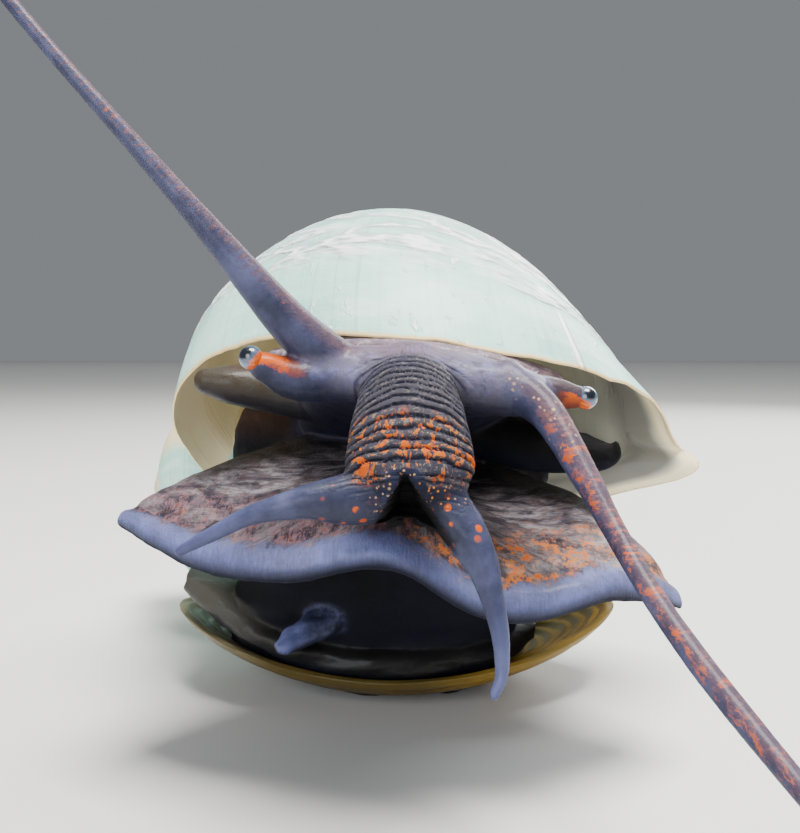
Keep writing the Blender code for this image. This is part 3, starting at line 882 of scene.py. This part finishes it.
def paintRegions(mesh, spots, shape):
    # how much each spot belongs to each region, and its measures on tubes and sheets
    tubes = {**fleshTubes, **lipTubes(mouthShape)}
    fields = {name: tubeField(name, stations, spots) for name, stations in tubes.items()}
    fields.update({name: sheetField(stations, spots) for name, stations in fleshSheets.items()})
    weights = {}
    for region, names in {**skinRegions, "footPart": ("footFront",), "hindPart": ("footHind",)}.items():
        away = np.min([fields[name][0] for name in names], axis=0)
        weights[region] = np.exp(-((away / shape["blend"]) ** 2))
    total = sum(weights.values()) + 1e-6
    for region in weights:
        weights[region] = weights[region] / total
        paintField(mesh, region, weights[region])
    for name, (pair, measure, leftMore) in pairedFields.items():
        right, left = fields[pair + "Right"], fields[pair + "Left"]
        paintField(mesh, name, np.where(right[0] < left[0], right[measure], left[measure] + leftMore))
    return fields, weights


def mouthNotch(mesh, spots, footWeight, shape):
    # paints the mouth, which the skin turns black as painted shade in the notch, and its collar, and returns
    # how deep each spot lies in the notch
    top, bottom = shape["top"], shape["bottom"]
    partWay = np.clip((top[2] - spots[:, 2]) / (top[2] - bottom[2]), -0.3, 1.6)
    aside = spots[:, 0] - (top[0] + (bottom[0] - top[0]) * partWay)
    width = shape["notchWidth"] + shape["notchSpread"] * np.clip(partWay, 0, 1.5)
    notch = np.exp(-((aside / width) ** 4))
    notch *= smoothStep(-0.2, 0.2, partWay) * (1 - smoothStep(1.2, 1.6, partWay))
    dark = smoothStep(*shape["darkY"], spots[:, 1])
    collar = np.exp(-((aside / (width + shape["collarWidth"])) ** 4)) * smoothStep(-0.42, -0.12, partWay)
    paintField(mesh, "mouthPart", notch * dark * (1 - footWeight))
    paintField(mesh, "mouthCollar", collar * dark)
    return notch * smoothStep(*shape["notchY"], spots[:, 1])


def shapeSkin(piece, shape):
    print("skin: regions and relief")
    mesh = piece.data
    spots = readVertices(mesh, "co") / milli + np.array((*restPoint, 0.0))
    normals = readVertices(mesh, "normal")
    fields, weights = paintRegions(mesh, spots, shape)
    snoutAlong = fields["snout"][1]
    _, rim, lift = fields["footFront"]
    crest = foldCrest(spots, snoutAlong, weights["snoutPart"], shape)
    painted = {
        "snoutAlong": snoutAlong,
        "foldCrest": crest,
        "rimInset": rim,
        "footLift": lift,
        "hindRim": fields["footHind"][1],
        "fleshX": spots[:, 0],
        "fleshZ": spots[:, 2],
        "skinUp": normals[:, 2],
    }
    for name, values in painted.items():
        paintField(mesh, name, values)

    groove = np.exp(-(((rim - shape["grooveInset"]) / shape["grooveWidth"]) ** 2))
    groove *= (lift > 0) * weights["footPart"]
    lumps = noiseAt(spots, 0.9) * 0.6 + noiseAt(spots, 2.3) * 0.4
    push = lumps * shape["lumpHeight"] - groove * shape["grooveDepth"]
    push *= 1 - 0.8 * (weights["tentacleRightPart"] + weights["tentacleLeftPart"] + weights["palpPart"])
    droop = np.abs(spots[:, 0] - snoutMiddle) * shape["foldDroop"]
    folded = smoothStep(*shape["foldStart"], snoutAlong)
    folded *= 1 - smoothStep(*shape["foldEnd"], snoutAlong - droop)
    ditch = 1 - smoothStep(0.0, 0.75, crest)
    push -= ditch * shape["foldDepth"] * weights["snoutPart"] * folded
    slow = noiseAt(spots * np.array((0.35, 0.35, 1.3)), 1.0)
    push += slow * shape["bodyFolds"] * (weights["bodyPart"] + weights["hindPart"])
    push += noiseAt(spots, 1.1) * shape["foldLumps"] * weights["foldPart"]
    notch = mouthNotch(mesh, spots, weights["footPart"], mouthShape)
    spots = spots + normals * push[:, None]
    spots[:, 1] += notch * mouthShape["notchDepth"]
    spots[:, 2] = np.maximum(spots[:, 2], 0.0)
    mesh.vertices.foreach_set("co", toMetres(spots).astype(np.float32).ravel())
    mesh.update()


def countTriangles(mesh):
    return sum(len(face.vertices) - 2 for face in mesh.polygons)


def buildSkin(shape, material):
    print("skin: one surface over all the flesh")
    forms = [tubeRings(name, rows) for name, rows in {**fleshTubes, **lipTubes(mouthShape)}.items()]
    forms += [sheetRings(rows) for rows in fleshSheets.values()]
    points, faces = [], []
    for rings in forms:
        addPoints, addFaces = ringMesh(rings)
        faces += [[index + len(points) for index in face] for face in addFaces]
        points += list(toMetres(addPoints))
    piece = meshPiece("skin", points, faces)
    tidyMesh(piece.data)
    remesh = piece.modifiers.new("remesh", "REMESH")
    remesh.mode = "VOXEL"
    remesh.voxel_size = shape["voxel"]
    smooth = piece.modifiers.new("smooth", "SMOOTH")
    smooth.factor = 0.5
    smooth.iterations = shape["smoothing"]
    bakeModifiers(piece)
    triangles = countTriangles(piece.data)
    if triangles > shape["mostTriangles"]:
        thin = piece.modifiers.new("thin", "DECIMATE")
        thin.ratio = shape["mostTriangles"] / triangles
        bakeModifiers(piece)
    refineFolds(piece, shape)
    print("skin triangles", countTriangles(piece.data), "from", triangles)
    shapeSkin(piece, shape)
    piece.data.materials.clear()
    piece.data.materials.append(material)
    return piece


skinColours = {
    "indigo": (0.021, 0.024, 0.050),
    "deepIndigo": (0.006, 0.007, 0.015),
    "lavender": (0.078, 0.086, 0.170),
    "paleLavender": (0.160, 0.185, 0.430),
    "greyLilac": (0.170, 0.156, 0.230),
    "headLilac": (0.100, 0.092, 0.150),
    "plum": (0.066, 0.042, 0.060),
    "umber": (0.040, 0.037, 0.048),
    "brown": (0.046, 0.028, 0.030),
    "darkBrown": (0.040, 0.021, 0.013),
    "mantle": (0.150, 0.090, 0.095),
    "mauve": (0.120, 0.078, 0.098),
    "paleMantle": (0.330, 0.290, 0.350),
    "pink": (0.290, 0.110, 0.085),
    "rose": (0.210, 0.115, 0.150),
    "cream": (0.175, 0.155, 0.165),
    "fleck": (0.260, 0.210, 0.170),
    "creamDot": (0.420, 0.270, 0.160),
    "sole": (0.230, 0.190, 0.150),
    "paleCream": (0.058, 0.055, 0.046),
    "olive": (0.040, 0.036, 0.026),
    "orange": (0.500, 0.078, 0.002),
    "amberSpot": (0.440, 0.150, 0.018),
    "ember": (0.160, 0.034, 0.020),
    "black": (0.0025, 0.0025, 0.003),
}


def skinWires(bench):
    # the attributes and noises that more than one part of the skin uses
    names = ("footPart", "hindPart", "mouthPart", "skinUp", "fleshX", "fleshZ", "snoutAlong", "foldCrest")
    wires = {name: bench.attribute(name) for name in (*skinRegions, *names, "rimInset", "footLift")}
    fleshX, rim, lift = wires["fleshX"], wires["rimInset"], wires["footLift"]
    wires["cloud"] = bench.noise(420.0, 4.0, 0.6)
    wires["fine"] = bench.noise(2400.0, 3.0, 0.6)
    wires["blaze"] = bench.noise(1300.0, 5.0, 0.75)
    wires["patch"] = bench.web((fleshX * 2.1, wires["snoutAlong"] * 2.3, 1.7), 5.0, 0.7, 0.8)
    wires["crestLine"] = wires["foldCrest"].band(0.12, 0.75)

    # threads behind the foot's rim, and fibres that fan out from under the snout
    aside, behind = fleshX - snoutMiddle, 6.5 - rim
    fan = aside.maths("ARCTAN2", behind)
    reach = (aside * aside + behind * behind).maths("SQRT")
    wires["thread"] = bench.web((fleshX * 9.0, rim * 1.6, lift * 2.0), 4.0, 0.6, 0.8)
    wires["streak"] = bench.web((fan * 9.0, reach * 0.55, lift * 0.4), 5.0, 0.65, 0.6)
    wires["fibre"] = bench.web((fan * 26.0, reach * 1.3, lift), 4.0, 0.65, 0.7)
    return wires


def pick(wires, *names):
    return [wires[name] for name in names]


def headShade(bench, wires):
    # grey lavender with paler mottles on top and mauve toward the mantle, and painted shade toward its lower
    # side
    cloud, fine, height = pick(wires, "cloud", "fine", "fleshZ")
    mottled = bench.noise(700.0, 4.0, 0.65)
    return bench.layers(
        "headLilac",
        (cloud.band(0.32, 0.68), "greyLilac"),
        (fine.band(0.5, 0.75) * 0.45, "paleLavender"),
        (bench.noise(1500.0, 4.0, 0.7).band(0.56, 0.66) * 0.5, "indigo"),
        (mottled.band(0.50, 0.60) * height.band(18.2, 19.6) * 0.6, "paleLavender"),
        ((height + (mottled - 0.5) * 2.0).band(19.3, 20.1) * 0.75, "mauve"),
        # painted shade: lower down, under the head, it turns deep indigo
        (height.band(19.4, 17.0) * 0.85, "deepIndigo"),
    )


def snoutShade(bench, wires, head):
    # dark grooves across it, olive crests, orange patches near its end
    cloud, fine, patch, fleshX = pick(wires, "cloud", "fine", "patch", "fleshX")
    way, crest, crestLine = pick(wires, "snoutAlong", "foldCrest", "crestLine")
    lower = way.band(3.9, 4.7)
    arch = foldArch(way, fleshX - snoutMiddle)
    dash = bench.web((fleshX * 4.5, arch * 10.0, 0.6), 5.0, 0.72, 0.3)
    spongy = bench.noise(3800.0, 3.0, 0.7)
    snout = bench.layers(
        "deepIndigo",
        (crestLine, "umber"),
        (cloud.band(0.45, 0.65) * 0.5 * crestLine, "indigo"),
        (dash.band(0.52, 0.62) * (crest.band(0.6, 0.97) * (0.45 + lower * 0.25)), "fleck"),
        (patch.band(0.52, 0.56) * lower * crest.band(0.3, 0.7) * spongy.band(0.4, 0.5), "amberSpot"),
        (patch.band(0.555, 0.59) * lower * crest.band(0.1, 0.5) * spongy.band(0.3, 0.42), "orange"),
    )

    # a smooth rim with small pale dots round the mouth
    collar = bench.attribute("mouthCollar") + (patch - 0.5) * 0.9
    rimWay = collar.band(0.4, 0.7).maths("MAXIMUM", (way + (patch - 0.5) * 1.4).band(6.3, 6.8))
    dots = bench.dots(4300.0, (fine - 0.5) * 0.25, 0.16, 0.30) * bench.noise(1200.0, 2.0).band(0.42, 0.50)
    dotShade = bench.mix(cloud.band(0.45, 0.55), "amberSpot", "creamDot")
    rim = bench.layers("deepIndigo", (cloud.band(0.3, 0.7), "indigo"), (dots, dotShade))
    root = 1.0 - (way + (cloud - 0.5) * 1.2).band(0.3, 1.3)
    return bench.layers(snout, (rimWay, rim), (root, head))


def palpShade(bench, wires):
    # smooth indigo with a few round orange dots near the mouth
    cloud, fine, patch = pick(wires, "cloud", "fine", "patch")
    way = bench.attribute("palpAlong")
    near = way.band(-0.4, 0.1) * (1.0 - way.band(1.9, 2.8))
    dots = bench.dots(1700.0, (fine - 0.5) * 0.25, 0.20, 0.32) * near
    return bench.layers(
        "indigo",
        (cloud.band(0.3, 0.75), "lavender"),
        (way.band(3.6, 0.6) * 0.65, "deepIndigo"),
        (way.band(4.0, 7.0) * 0.25, "paleLavender"),
        (patch.band(0.57, 0.60) * (1.0 - way.band(0.2, 0.9)) * 0.9, "orange"),
        (dots * bench.noise(900.0, 1.0).band(0.36, 0.42), "orange"),
    )


def tentacleShades(bench, wires):
    # along the upper edge, orange speckles on the right one and patches on the left one
    cloud, fine = pick(wires, "cloud", "fine")
    top, way = bench.attribute("tentacleTop"), bench.attribute("tentacleAlong")
    plain = bench.layers("indigo", (cloud.band(0.3, 0.75), "lavender"), (top.band(0.0, 0.55) * 0.85, "plum"))
    blotch, freckle = bench.noise(1100.0, 3.0, 0.65), bench.noise(4200.0, 4.0, 0.7)
    far, upperEdge = way.band(5.0, 12.0), top.band(-0.1, 0.6)
    right = bench.layers(
        plain,
        (far * 0.05, "greyLilac"),
        (freckle.band(0.47, 0.6) * upperEdge * (far * 0.3 + 0.1), "pink"),
        (freckle.band(0.60, 0.66) * upperEdge * blotch.band(0.45, 0.6) * 0.8, "orange"),
    )
    patchy = bench.web((way * 1.3, top * 1.7, 3.0), 5.0, 0.72, 0.3)
    strip = top.band(-0.2, 0.2) * (1.0 - top.band(0.6, 0.95))
    dots = bench.dots(3300.0, (fine - 0.5) * 0.2, 0.16, 0.30) * blotch.band(0.42, 0.52)
    left = bench.layers(
        plain,
        (patchy.band(0.46, 0.58) * strip * 0.55 * way.band(1.5, 4.0), "pink"),
        (patchy.band(0.53, 0.60) * strip * way.band(2.5, 5.0) * (0.95 - far * 0.25), "orange"),
        (dots * strip * (1.0 - way.band(4.0, 6.0)), "creamDot"),
    )
    return right, left


def footShade(bench, wires):
    # lavender rim with painted shade on its lower side, orange speckles behind it, then fibrous brown; painted
    # shade under the snout and far back, and on the sole except near its ends
    cloud, blaze, fleshX, skinUp = pick(wires, "cloud", "blaze", "fleshX", "skinUp")
    rim, lift, thread, streak, fibre = pick(wires, "rimInset", "footLift", "thread", "streak", "fibre")
    blush = bench.mix(fleshX.band(-1.5, 2.5), "rose", "pink")
    belt = rim.band(0.8, 1.5) * (1.0 - rim.band(3.0, 5.2))
    speckled = fleshX.band(-2.0, 3.0) * 0.9 + 0.1
    speck = blaze * 0.65 + bench.noise(4500.0, 3.0, 0.7) * 0.35
    # painted shade on the foot's top under the snout, and far back toward the body
    beside = ((fleshX - snoutMiddle) / 3.2) ** 2.0
    underSnoutShade = (1.0 - beside.band(0.25, 1.4)) * rim.band(1.7, 3.2) * 0.9
    topSide = bench.layers(
        "deepIndigo",
        (streak.band(0.36, 0.66), "cream"),
        (fibre.band(0.45, 0.60) * 0.75, "brown"),
        (1.0 - fibre.band(0.30, 0.42), "darkBrown"),
        (fibre.band(0.60, 0.72) * 0.55, blush),
        (belt * blaze.band(0.40, 0.56) * thread.band(0.4, 0.55) * 0.6, blush),
        (belt * speck.band(0.51, 0.56) * speckled * 0.9, "amberSpot"),
        (belt * speck.band(0.545, 0.59) * fibre.band(0.36, 0.50) * speckled, "orange"),
        (underSnoutShade.maths("MAXIMUM", rim.band(6.0, 10.0) * 0.8), "black"),
    )
    middle = fleshX.band(-1.0, 0.8) * (1.0 - fleshX.band(4.0, 6.5))
    rimLine = bench.layers(
        "lavender",
        (thread.band(0.3, 0.8) * 0.35 + cloud.band(0.4, 0.65) * 0.4, "paleLavender"),
        # painted shade on the rim's lower side
        ((1.0 - skinUp.band(-0.7, 0.5)) * 0.9, "deepIndigo"),
        (middle * 0.3, "deepIndigo"),
        (speck.band(0.54, 0.60) * rim.band(0.3, 1.2) * (middle * 0.7 + 0.25), "amberSpot"),
    )
    uneven = rim + (thread - 0.5) * 1.6 + (blaze - 0.5) * 1.4
    upper = bench.mix(uneven.band(0.75, 1.45), rimLine, topSide)
    # painted shade on the sole: deep indigo at the rim, black in the middle, its own paler colour near the ends
    ends = fleshX.maths("ABSOLUTE").band(3.0, 6.0) * (1.0 - rim.band(2.0, 4.5))
    under = bench.mix(rim.band(0.25, 0.7), "deepIndigo", bench.mix(ends, "black", "sole"))
    return bench.mix(lift.band(-0.45, -0.1), under, upper)


def stalkShade(bench, wires):
    # a flash toward the eye, above on the right stalk and below on the left one
    cloud, blaze, fleshX, skinUp = pick(wires, "cloud", "blaze", "fleshX", "skinUp")
    way = bench.attribute("stalkAlong") + (blaze - 0.5) * 1.5
    above = (skinUp + (blaze - 0.5) * 1.4).band(0.0, 0.3)
    onLeft = fleshX.band(-1.0, 1.0)
    flash = above * (1.0 - onLeft) + (1.0 - above) * onLeft
    return bench.layers(
        "indigo",
        (cloud.band(0.3, 0.75) * 0.6, "lavender"),
        (skinUp.band(0.1, 0.7), "plum"),
        (fleshX.band(5.4, 6.4) * 0.7, "brown"),
        (way.band(1.3, 2.1) * 0.8 * flash, "ember"),
        (way.band(2.3, 2.8) * flash, "orange"),
    )


def skinMaterial(shades):
    fixed = {
        "Coat Roughness": 0.2,
        "Subsurface Weight": 0.05,
        "Subsurface Radius": (0.0006, 0.0004, 0.0003),
        "Specular IOR Level": 0.12,
    }
    material, bench, shader = newMaterial("moistSkin", fixed, shades)
    wires = skinWires(bench)
    cloud, fine, fleshX, skinUp = pick(wires, "cloud", "fine", "fleshX", "skinUp")
    head = headShade(bench, wires)
    right, left = tentacleShades(bench, wires)
    # painted shade: the body column under the foot and head is black with dark indigo mottles and dark brown at
    # its top front, over its own dark flesh
    bodyFront = wires["fleshZ"].band(14.5, 16.5) * (1.0 - fleshX.band(-5.5, -2.5)) * 0.8
    covers = {
        "bodyPart": bench.layers("black", (cloud.band(0.3, 0.7) * 0.5, "deepIndigo"), (bodyFront, "darkBrown")),
        "hindPart": bench.layers(
            "paleCream",
            (bench.attribute("hindRim").band(0.4, 2.6), "olive"),
            # painted shade: black over the hind foot except its left end
            (fleshX.band(-10.0, -6.5) * 0.93, "black"),
        ),
        "footPart": footShade(bench, wires),
        "headPart": head,
        "mantlePart": bench.layers(
            "mantle",
            (bench.noise(1500.0, 4.0, 0.65).band(0.42, 0.62), "plum"),
            (bench.noise(2600.0, 4.0, 0.7).band(0.50, 0.64) * 0.8, "paleMantle"),
            # paler where it faces up: partly the mantle's whitish edge, partly painted light from above
            (skinUp.band(0.5, 0.8) * 0.3, "paleMantle"),
        ),
        "lobePart": bench.mix(cloud.band(0.35, 0.65), "darkBrown", "olive"),
        # painted shade: the siphon is black, as deep in the shell's opening
        "siphonPart": "black",
        "foldPart": bench.layers(
            "indigo",
            (fine.band(0.35, 0.70) * 0.5, "lavender"),
            (fleshX.band(-4.4, -6.0) * 0.45, "paleLavender"),
        ),
        "eyestalkPart": stalkShade(bench, wires),
        "tentacleRightPart": right,
        "tentacleLeftPart": left,
        "palpPart": palpShade(bench, wires),
        "snoutPart": snoutShade(bench, wires, head),
    }
    colour = head
    for region, shade in covers.items():
        colour = bench.mix((wires[region] + (fine - 0.5) * 0.3).band(0.25, 0.6), colour, shade)
    # painted shade: skin that faces down is darkened, less on the thin tentacles and palps
    smallTube = wires["tentacleRightPart"] + wires["tentacleLeftPart"] + wires["palpPart"]
    below = (1.0 - skinUp.band(-0.9, 0.15)) * (0.8 - smallTube * 0.35).maths("MAXIMUM", 0.0)
    # the mouth's notch is painted black as shade
    colour = bench.layers(colour, (below, "deepIndigo"), (wires["mouthPart"].band(0.04, 0.35), "black"))

    # the body, the siphon, the snout, the mouth and the sole are dull
    foot, snout = pick(wires, "footPart", "snoutPart")
    dull = wires["bodyPart"] + wires["siphonPart"] + snout + (1.0 - wires["footLift"].band(-0.3, 0.1)) * foot
    dull = (dull + wires["mouthPart"]).maths("MINIMUM", 1.0)
    sockets = {
        "Base Color": colour,
        "Roughness": cloud * 0.15 + fine * 0.12 + 0.36 + dull * 0.3,
        "Coat Weight": 0.12 - dull * 0.12,
    }
    height = wires["crestLine"] * snout * 0.8 + fine * 0.45 + bench.noise(6500.0, 2.0, 0.5) * 0.3
    height = height + (wires["thread"] * 0.4 + wires["fibre"] * 0.8) * foot
    feed(bench, shader, sockets, height, 0.00011, 0.8)
    return material


# Operculum: a curved oval plate with ridges about its centre.
plateShape = {
    "halfLength": 13.1,  # millimetres
    "halfWidth": 6.35,
    "thickness": 0.74,
    "centre": (-0.2, -2.7, 0.15),
    "endRise": 4.7,
    "frontRise": 1.9,
    "ridges": 13,
    "ridgePower": 1.3,  # above 1, the ridges come closer toward the edge
    "ridgeHeight": 0.045,
    "wobble": 0.5,
    "rings": 120,
    "around": 220,
}


def plateSide(shape, side):
    # points of one face, ring by ring and then the middle, and how far out each is
    centre = shape["centre"]
    points, growth = [], []
    for ring in range(1, shape["rings"] + 1):
        reach = ring / shape["rings"]
        edge = min(1.0, 2.2 * math.sqrt(max(0.0, 1 - reach**2)) + 0.15)
        for step in range(shape["around"]):
            angle = fullTurn * step / shape["around"]
            part, across = reach * math.cos(angle), reach * math.sin(angle)
            base = centre[2] + shape["endRise"] * part**2 + shape["frontRise"] * across**2
            wobble = shape["wobble"] * noise.noise(Vector((part * 3.0, across * 3.0, side)))
            ridge = math.sin(fullTurn * (shape["ridges"] * reach ** shape["ridgePower"] + wobble))
            lift = shape["thickness"] / 2 * edge + shape["ridgeHeight"] * (ridge - 1) * min(1.0, 3 * reach)
            x, y = centre[0] + shape["halfLength"] * part, centre[1] + shape["halfWidth"] * across
            points.append((x, y, max(0.0, base + side * lift)))
            growth.append(reach)
    points.append((centre[0], centre[1], max(0.0, centre[2] + side * shape["thickness"] / 2)))
    growth.append(0.0)
    return points, growth


def buildPlate(shape, material):
    print("operculum: ridged oval plate")
    around, rings = shape["around"], shape["rings"]
    half = around * rings + 1
    points, growth, faces = [], [], []
    for start, side in ((0, 1), (half, -1)):
        sidePoints, sideGrowth = plateSide(shape, side)
        points += sidePoints
        growth += sideGrowth
        for step in range(around):
            after = (step + 1) % around
            sideFaces = [(start + step, start + after, start + half - 1)]
            for ring in range(rings - 1):
                low, high = start + ring * around, start + (ring + 1) * around
                sideFaces.append((low + step, high + step, high + after, low + after))
            faces += [face[::side] for face in sideFaces]
    rimTop, rimUnder = (rings - 1) * around, half + (rings - 1) * around
    for step in range(around):
        after = (step + 1) % around
        faces.append((rimTop + step, rimUnder + step, rimUnder + after, rimTop + after))
    piece = meshPiece("operculumPlate", toMetres(points), faces)
    paintField(piece.data, "plateReach", growth)
    tidyMesh(piece.data)
    piece.data.materials.append(material)
    return piece


plateColours = {
    "umber": (0.130, 0.066, 0.004),
    "amber": (0.270, 0.150, 0.008),
    "dark": (0.085, 0.050, 0.012),
    "edge": (0.230, 0.150, 0.028),
    "olive": (0.050, 0.040, 0.014),
    "pale": (0.240, 0.210, 0.130),
}


def plateMaterial(shades):
    fixed = {
        "Coat Weight": 0.06,
        "Coat Roughness": 0.25,
        "Subsurface Weight": 0.1,
        "Subsurface Radius": (0.0009, 0.0005, 0.0001),
        "Specular IOR Level": 0.15,
    }
    material, bench, shader = newMaterial("amberHorn", fixed, shades)
    reach = bench.attribute("plateReach")
    wander = bench.noise(260.0, 3.0, 0.55)
    rings = ((reach * 34.0 + wander * 3.0) * math.pi).maths("SINE") * 0.5 + 0.5
    fibre = bench.noise(1500.0, 4.0, 0.65, bench.stretched((1.0, 0.35, 1.0)))
    plateX = bench.add("ShaderNodeSeparateXYZ", None, {0: bench.place()}, 0)
    colour = bench.layers(
        "umber",
        (rings.band(0.2, 0.9), "amber"),
        (fibre.band(0.45, 0.7) * 0.5, "dark"),
        (reach.band(0.93, 0.985) * 0.8, "edge"),
        # painted shade: darker from the middle leftward
        ((1.0 - plateX.band(0.001, 0.006)) * 0.8, "olive"),
        ((1.0 - plateX.band(-0.011, -0.006)) * 0.6, "pale"),
    )
    sockets = {"Base Color": colour, "Roughness": fibre * 0.2 + 0.22}
    feed(bench, shader, sockets, rings * 0.6 + fibre * 0.4, 0.00008, 0.6)
    return material


# Eyes: glossy balls; gaze is the way the pupil faces, and warmWay the way of the orange side.
eyeShapes = {
    "eyeRight": {
        "node": "eye_right",
        "centre": (-6.4, -18.25, 19.75),  # millimetres
        "gaze": (-0.38, -0.78, 0.50),
        "spread": 0.48,
        "warmWay": (0.80, 0.0, -0.60),
    },
    "eyeLeft": {
        "node": "eye_left",
        "centre": (8.3, -16.75, 17.95),
        "gaze": (0.20, -0.87, 0.42),
        "spread": 0.7,
        "warmWay": (-0.50, 0.0, -0.86),
    },
}
eyeRadius = 0.515


def buildEye(name, shape, material):
    print("eye: ball with a painted gaze")
    piece = meshPiece(name, [], [])
    mesh = piece.data
    form = bmesh.new()
    bmesh.ops.create_uvsphere(form, u_segments=64, v_segments=40, radius=eyeRadius * milli)
    form.to_mesh(mesh)
    form.free()
    gaze = np.array(shape["gaze"]) / np.linalg.norm(shape["gaze"])
    facing = [float(np.dot(point.co.normalized(), gaze)) for point in mesh.vertices]
    paintField(mesh, "eyeFacing", 1 - (1 - np.array(facing)) * shape["spread"])
    warmWay = Vector(shape["warmWay"])
    paintField(mesh, "eyeWarm", [point.co.normalized().dot(warmWay) for point in mesh.vertices])
    mesh.transform(Matrix.Translation(spotInMetres(shape["centre"])))
    mesh.shade_smooth()
    mesh.materials.append(material)
    return piece


eyeColours = {
    "slate": (0.07, 0.10, 0.18),
    "steel": (0.17, 0.22, 0.33),
    "paintedReflection": (0.46, 0.54, 0.66),
    "iris": (0.060, 0.090, 0.140),
    "pupil": (0.006, 0.008, 0.014),
    "orange": (0.560, 0.090, 0.003),
}


def eyeMaterial(shades):
    fixed = {
        "Roughness": 0.22,
        "Coat Weight": 0.5,
        "Coat Roughness": 0.08,
        "Subsurface Weight": 0.1,
        "Subsurface Radius": (0.0003, 0.0003, 0.0004),
    }
    material, bench, shader = newMaterial("glossyEye", fixed, shades)
    cloud = bench.noise(1800.0, 3.0, 0.5)
    facing = bench.attribute("eyeFacing") + (cloud - 0.5) * 0.12
    ragged = bench.attribute("eyeWarm") + (bench.noise(4200.0, 3.0, 0.65) - 0.5) * 0.7
    warm = (1.0 - facing.band(0.05, 0.4)).maths("MAXIMUM", ragged.band(0.18, 0.42))
    colour = bench.layers(
        "slate",
        (cloud.band(0.3, 0.7), "steel"),
        # painted reflection: a pale rim on the side away from the gaze
        ((1.0 - facing.band(0.15, 0.5)) * 0.6, "paintedReflection"),
        (facing.band(0.70, 0.88), "iris"),
        (facing.band(0.86, 0.95), "pupil"),
        (warm, "orange"),
    )
    feed(bench, shader, {"Base Color": colour})
    return material


cameraView = {
    "eye": (0.0, -58.0, 20.0),  # millimetres
    "lens": 40.0,
    "sensor": 36.0,
    "clip": (0.001, 20.0),  # metres
    "tilt": math.radians(86.0),
}

# Floor and lights, in metres. Each light: place, target, size, power, colour.
studioShape = {
    "floorHalf": 2.0,
    "floorShades": {"paper": (0.62, 0.61, 0.59), "palePaper": (0.66, 0.65, 0.63)},
    "sky": (0.80, 0.84, 0.88, 1.0),
    "skyStrength": 0.28,
    "lights": {
        "keyLight": ((0.04, -0.03, 0.30), (0, 0, 0.015), 0.14, 2.9, (1.0, 0.99, 0.96)),
        "skyLight": ((0.0, 0.5, 1.6), (0, 0.4, 0), 2.0, 9.0, (0.96, 0.98, 1.0)),
        "frontLight": ((-0.10, -0.26, 0.10), (0, 0, 0.015), 0.16, 0.6, (0.94, 0.96, 1.0)),
        "rimLight": ((0.14, 0.2, 0.16), (0, 0, 0.02), 0.14, 0.8, (0.95, 0.98, 1.0)),
    },
}


def setCamera(view):
    data = bpy.data.cameras.new("camera")
    data.lens = view["lens"]
    data.sensor_width = view["sensor"]
    data.clip_start, data.clip_end = view["clip"]
    camera = bpy.data.objects.new("camera", data)
    camera.location = spotInMetres(view["eye"])
    camera.rotation_euler = (view["tilt"], 0.0, 0.0)
    bpy.context.scene.collection.objects.link(camera)
    bpy.context.scene.camera = camera


def areaLight(name, place, target, size, power, colour):
    data = bpy.data.lights.new(name, "AREA")
    data.size = size
    data.energy = power
    data.color = colour
    light = bpy.data.objects.new(name, data)
    light.location = place
    light.rotation_euler = (Vector(target) - Vector(place)).to_track_quat("-Z", "Y").to_euler()
    bpy.context.scene.collection.objects.link(light)


def setStudio(shape):
    half = shape["floorHalf"]
    corners = [(-half, -half, 0), (half, -half, 0), (half, half, 0), (-half, half, 0)]
    floor = meshPiece("floor", corners, [(0, 1, 2, 3)])
    material, bench, shader = newMaterial("floorPaper", {"Roughness": 0.8}, shape["floorShades"])
    feed(bench, shader, {"Base Color": bench.mix(bench.noise(6.0, 2.0), "paper", "palePaper")})
    floor.data.materials.append(material)
    world = bpy.data.worlds.new("studio")
    world.use_nodes = True
    sky = world.node_tree.nodes["Background"]
    sky.inputs[0].default_value = shape["sky"]
    sky.inputs[1].default_value = shape["skyStrength"]
    bpy.context.scene.world = world
    for name, settings in shape["lights"].items():
        areaLight(name, *settings)


def place(piece, nodes, slot):
    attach(piece, "root")
    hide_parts(*nodes)


def main():
    print("studio: camera, floor and lights")
    setCamera(cameraView)
    setStudio(studioShape)
    place(buildShell(shellShape, shellMaterial(shellColours)), ["shell"], "shell")
    place(buildPlate(plateShape, plateMaterial(plateColours)), ["operculum"], "horn")
    kept = {"shell", "operculum", "eye_right", "eye_left"}
    flesh = [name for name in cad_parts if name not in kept]
    place(buildSkin(skinShape, skinMaterial(skinColours)), flesh, "skin")
    gloss = eyeMaterial(eyeColours)
    for name, shape in eyeShapes.items():
        place(buildEye(name, shape, gloss), [shape["node"]], "eye")


main()
